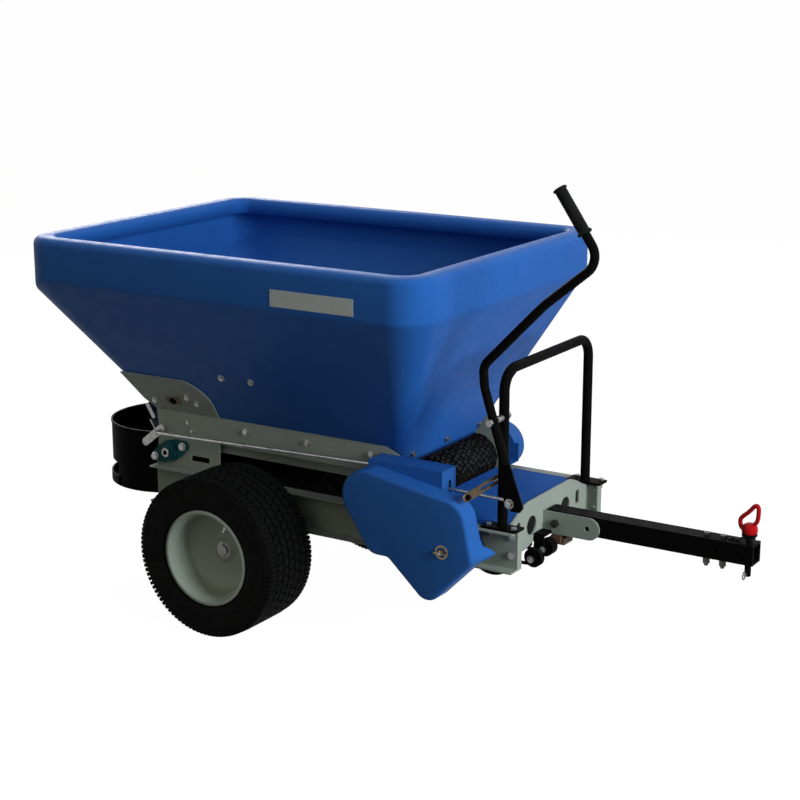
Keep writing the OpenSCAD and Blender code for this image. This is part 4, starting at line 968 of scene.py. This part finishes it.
# A black knob in the pivot's hole is painted shade for the hole's depth.
hole_shade = bmesh.new()
lathe(hole_shade, ((0, 2), (10.5, 2), (11, 2.6), (11, 5), (9.6, 6.4), (7, 6.8), (6.4, 5), (0, 4.6)), steps=32)
laid(hole_shade, seat, outward)
finish_piece("pivot_hole_shade", hole_shade, "frame", "black_paint")

# %% [markdown]
# Behind each round hole of the front plate sits a dark disc of grip rubber, painted shade for the dark inside
# of the hole, which would otherwise open onto the white background. It is one turned chain with a soft rim,
# laid flat against the back of the plate.

# %% Dark discs as painted shade behind the front plate
HOLE_Y, HOLE_Z = 93, 322
PLATE_BACK_X = 732.9
# Each disc is painted shade for the dark inside of its hole.
shade_discs = bmesh.new()
for side in (-1, 1):
    disc = bmesh.new()
    lathe(disc, ((0, 0), (27, 0), (30, 1), (31, 2.4), (30, 3.6), (0, 3.6)), steps=40)
    laid(disc, spot(PLATE_BACK_X, side * HOLE_Y, HOLE_Z), (-1, 0, 0))
    joined(shade_discs, disc)
finish_piece("hole_shade_discs", shade_discs, "frame", "grip_rubber")

# %% [markdown]
# The rear roller's shaft ends in a turned ring round a centre bore, filled with a shallow black plug as
# painted shade.
# Ring and plug are two short turned chains on the roller's own axis, and they turn with it.

# %% Shaft end ring
RING = ((7.2, 0), (11.4, 0), (11.8, 0.5), (11.8, 2), (11.2, 2.6), (7.2, 2.6))
BORE = ((0, 0), (7.4, 0), (7.4, 1.2), (2.6, 0.6), (2.2, 1.8), (0, 1.8))
roll_x, roll_z, _ = REAR_ROLL
# The bore is not cut: a black plug on the shaft end is painted shade for it.
for name, finish, chain in (("shaft_ring", "zinc_plate", RING), ("shaft_bore", "black_paint", BORE)):
    end = bmesh.new()
    lathe(end, chain, steps=32, closed=chain[0][0] > 0)
    laid(end, spot(roll_x, -260, roll_z), NEAR_SIDE)
    finish_piece(name, end, "rear_roll", finish)

# %% [markdown]
# The hitch pin is a dark steel shank with a red dipped head. The head is a fat rounded drum, turned on
# the lathe, and the loop that leans forward over it is a bent wire, thick enough for a gloved finger.

# %% Hitch pin
PIN_X = 1277
shank = bmesh.new()
lathe(shank, ((0, 262), (6.4, 262), (7.9, 263.6), (7.9, 363), (17.6, 364), (19, 365.4), (19, 368.6),
              (17.6, 370), (0, 370)), steps=32)
bmesh.ops.translate(shank, verts=shank.verts[:], vec=spot(PIN_X, 0, 0))
finish_piece("pin_shank", shank, "pin", "black_paint", ["hitch_pin"])

head = bmesh.new()
lathe(head, ((0, 369.6), (15.4, 369.6), (18, 371), (19.4, 374.5), (19.6, 380), (18.8, 386), (16, 391.5),
             (11, 395), (4.6, 396.6), (0, 396.8)), steps=36)
bmesh.ops.translate(head, verts=head.verts[:], vec=spot(PIN_X, 0, 0))
LOOP = ((-8, 381), (-21, 380), (-26, 398), (-21, 409), (-3, 424), (12, 444), (20.5, 438), (20, 416),
        (18, 402), (9, 392), (2, 388))
wire(head, softened([spot(PIN_X + ahead_by, 0, z) for ahead_by, z in LOOP]), radius=5.4)
finish_piece("pin_head", head, "pin", "red_paint")

# %% [markdown]
# A short black lanyard keeps the pin with the machine: an eye round the shank under the head, and a
# strap that arches down to a rivet on the drawbar. The strap's side view is drawn and extruded across.

# %% Lanyard
STRAP = ((1226, 348.3), (1245, 348.3), (1252, 350.5), (1261, 357), (1268, 357), (1268, 359.8),
         (1260, 359.8), (1250, 353.4), (1244, 351.2), (1226, 351.2))
EYE = ((8.7, 357.2), (14.8, 357.2), (15.6, 358), (15.6, 359.2), (14.8, 360), (8.7, 360))
RIVET = ((0, 351), (5.6, 351), (5.2, 352.6), (3.4, 353.8), (0, 354.2))
RIVET_X = 1236
lanyard = plate(STRAP, -7, 7, round_off=0.8)
for chain, x in ((EYE, PIN_X), (RIVET, RIVET_X)):
    eye = bmesh.new()
    lathe(eye, chain, steps=32, closed=chain[0][0] > 0)
    bmesh.ops.translate(eye, verts=eye.verts[:], vec=spot(x, 0, 0))
    joined(lanyard, eye)
finish_piece("pin_lanyard", lanyard, "frame", "grip_rubber", ["pin_tether"])

# %% [markdown]
# The lever's grip is a rubber sleeve with a mushroom end, shallow ribs and a guard collar. It is one
# turned chain, laid along the first straight of the lever.

# %% Lever grip
LEVER_TIP = spot(897, -281, 1193)
DOWN_LEVER = (102, 0, -148)
RIB_STEP = 5.2
RIBS = [(radius, start + RIB_STEP * i) for i in range(19)
        for radius, start in ((13.7, -3), (14.5, -2.3), (14.5, 0.3), (13.7, 1.0))]
MUSHROOM = [(0, -14), (11, -13.9), (15, -13), (17, -11.2), (17.4, -9.4), (16.6, -7.6), (14.4, -6.4)]
COLLAR = [(14.2, 98.6), (16.4, 100), (17.8, 101.6), (18, 104.5), (17, 107.4), (14, 108), (11.4, 108)]
grip = bmesh.new()
lathe(grip, MUSHROOM + RIBS + COLLAR, steps=40)
laid(grip, LEVER_TIP, DOWN_LEVER)
finish_piece("ribbed_grip", grip, "lever_arm", "grip_rubber", ["lever_grip"])

# %% [markdown]
# The control rod is joined from threaded lengths with long coupler nuts. Each is a six-sided cylinder
# with bevelled edges, laid along the slightly rising rod.

# %% Coupler nuts on the rod
ROD_Y = -262
ALONG_ROD = (772, 0, 23)
couplers = bmesh.new()
for x, z in ((-40, 455.7), (57, 458.6)):
    laid(couplers, spot(x, ROD_Y, z), ALONG_ROD, hexagon(couplers, 0.0058, 0.022))
rounded(couplers, couplers.edges[:], 0.0006)
finish_piece("rod_couplers", couplers, "rod", "zinc_plate")

# %% [markdown]
# ## Floor
# The studio floor is a dull sheet with a glow of its own. For camera rays the glow lifts it to the
# background, and only the soft shadow shows. Glossy rays get half of it, so that walls which lean over
# the floor mirror a grey floor and keep their depth. Other rays get none, so it lights nothing.

# %% Studio floor
floor_paint = bpy.data.materials.new("studio_floor")
floor_paint.use_nodes = True
tree = floor_paint.node_tree
tree.nodes.remove(tree.nodes["Principled BSDF"])
sheet_colour = add(tree, "ShaderNodeBsdfDiffuse", Color=(0.08, 0.08, 0.08, 1.0))
glow = add(tree, "ShaderNodeEmission", Color=(1.0, 1.0, 1.0, 1.0))
view_ray = add(tree, "ShaderNodeLightPath")
level = add(tree, "ShaderNodeMath", operation="MAXIMUM")
for socket, kind, share in ((0, "Is Camera Ray", 0.975), (1, "Is Glossy Ray", 0.5)):
    part = add(tree, "ShaderNodeMath", operation="MULTIPLY")
    part.inputs[1].default_value = share
    tree.links.new(view_ray.outputs[kind], part.inputs[0])
    tree.links.new(part.outputs[0], level.inputs[socket])
tree.links.new(level.outputs[0], glow.inputs["Strength"])
total = add(tree, "ShaderNodeAddShader")
tree.links.new(sheet_colour.outputs[0], total.inputs[0])
tree.links.new(glow.outputs[0], total.inputs[1])
tree.links.new(total.outputs[0], tree.nodes["Material Output"].inputs["Surface"])

FLOOR_HALF = 60.0
ground = bmesh.new()
bmesh.ops.create_grid(ground, x_segments=2, y_segments=2, size=FLOOR_HALF)
ground_mesh = bpy.data.meshes.new("studio_floor")
ground.to_mesh(ground_mesh)
ground.free()
ground_mesh.materials.append(floor_paint)
ground_sheet = bpy.data.objects.new("studio_floor", ground_mesh)
bpy.context.scene.collection.objects.link(ground_sheet)
print("floor side", 2 * FLOOR_HALF, "m")
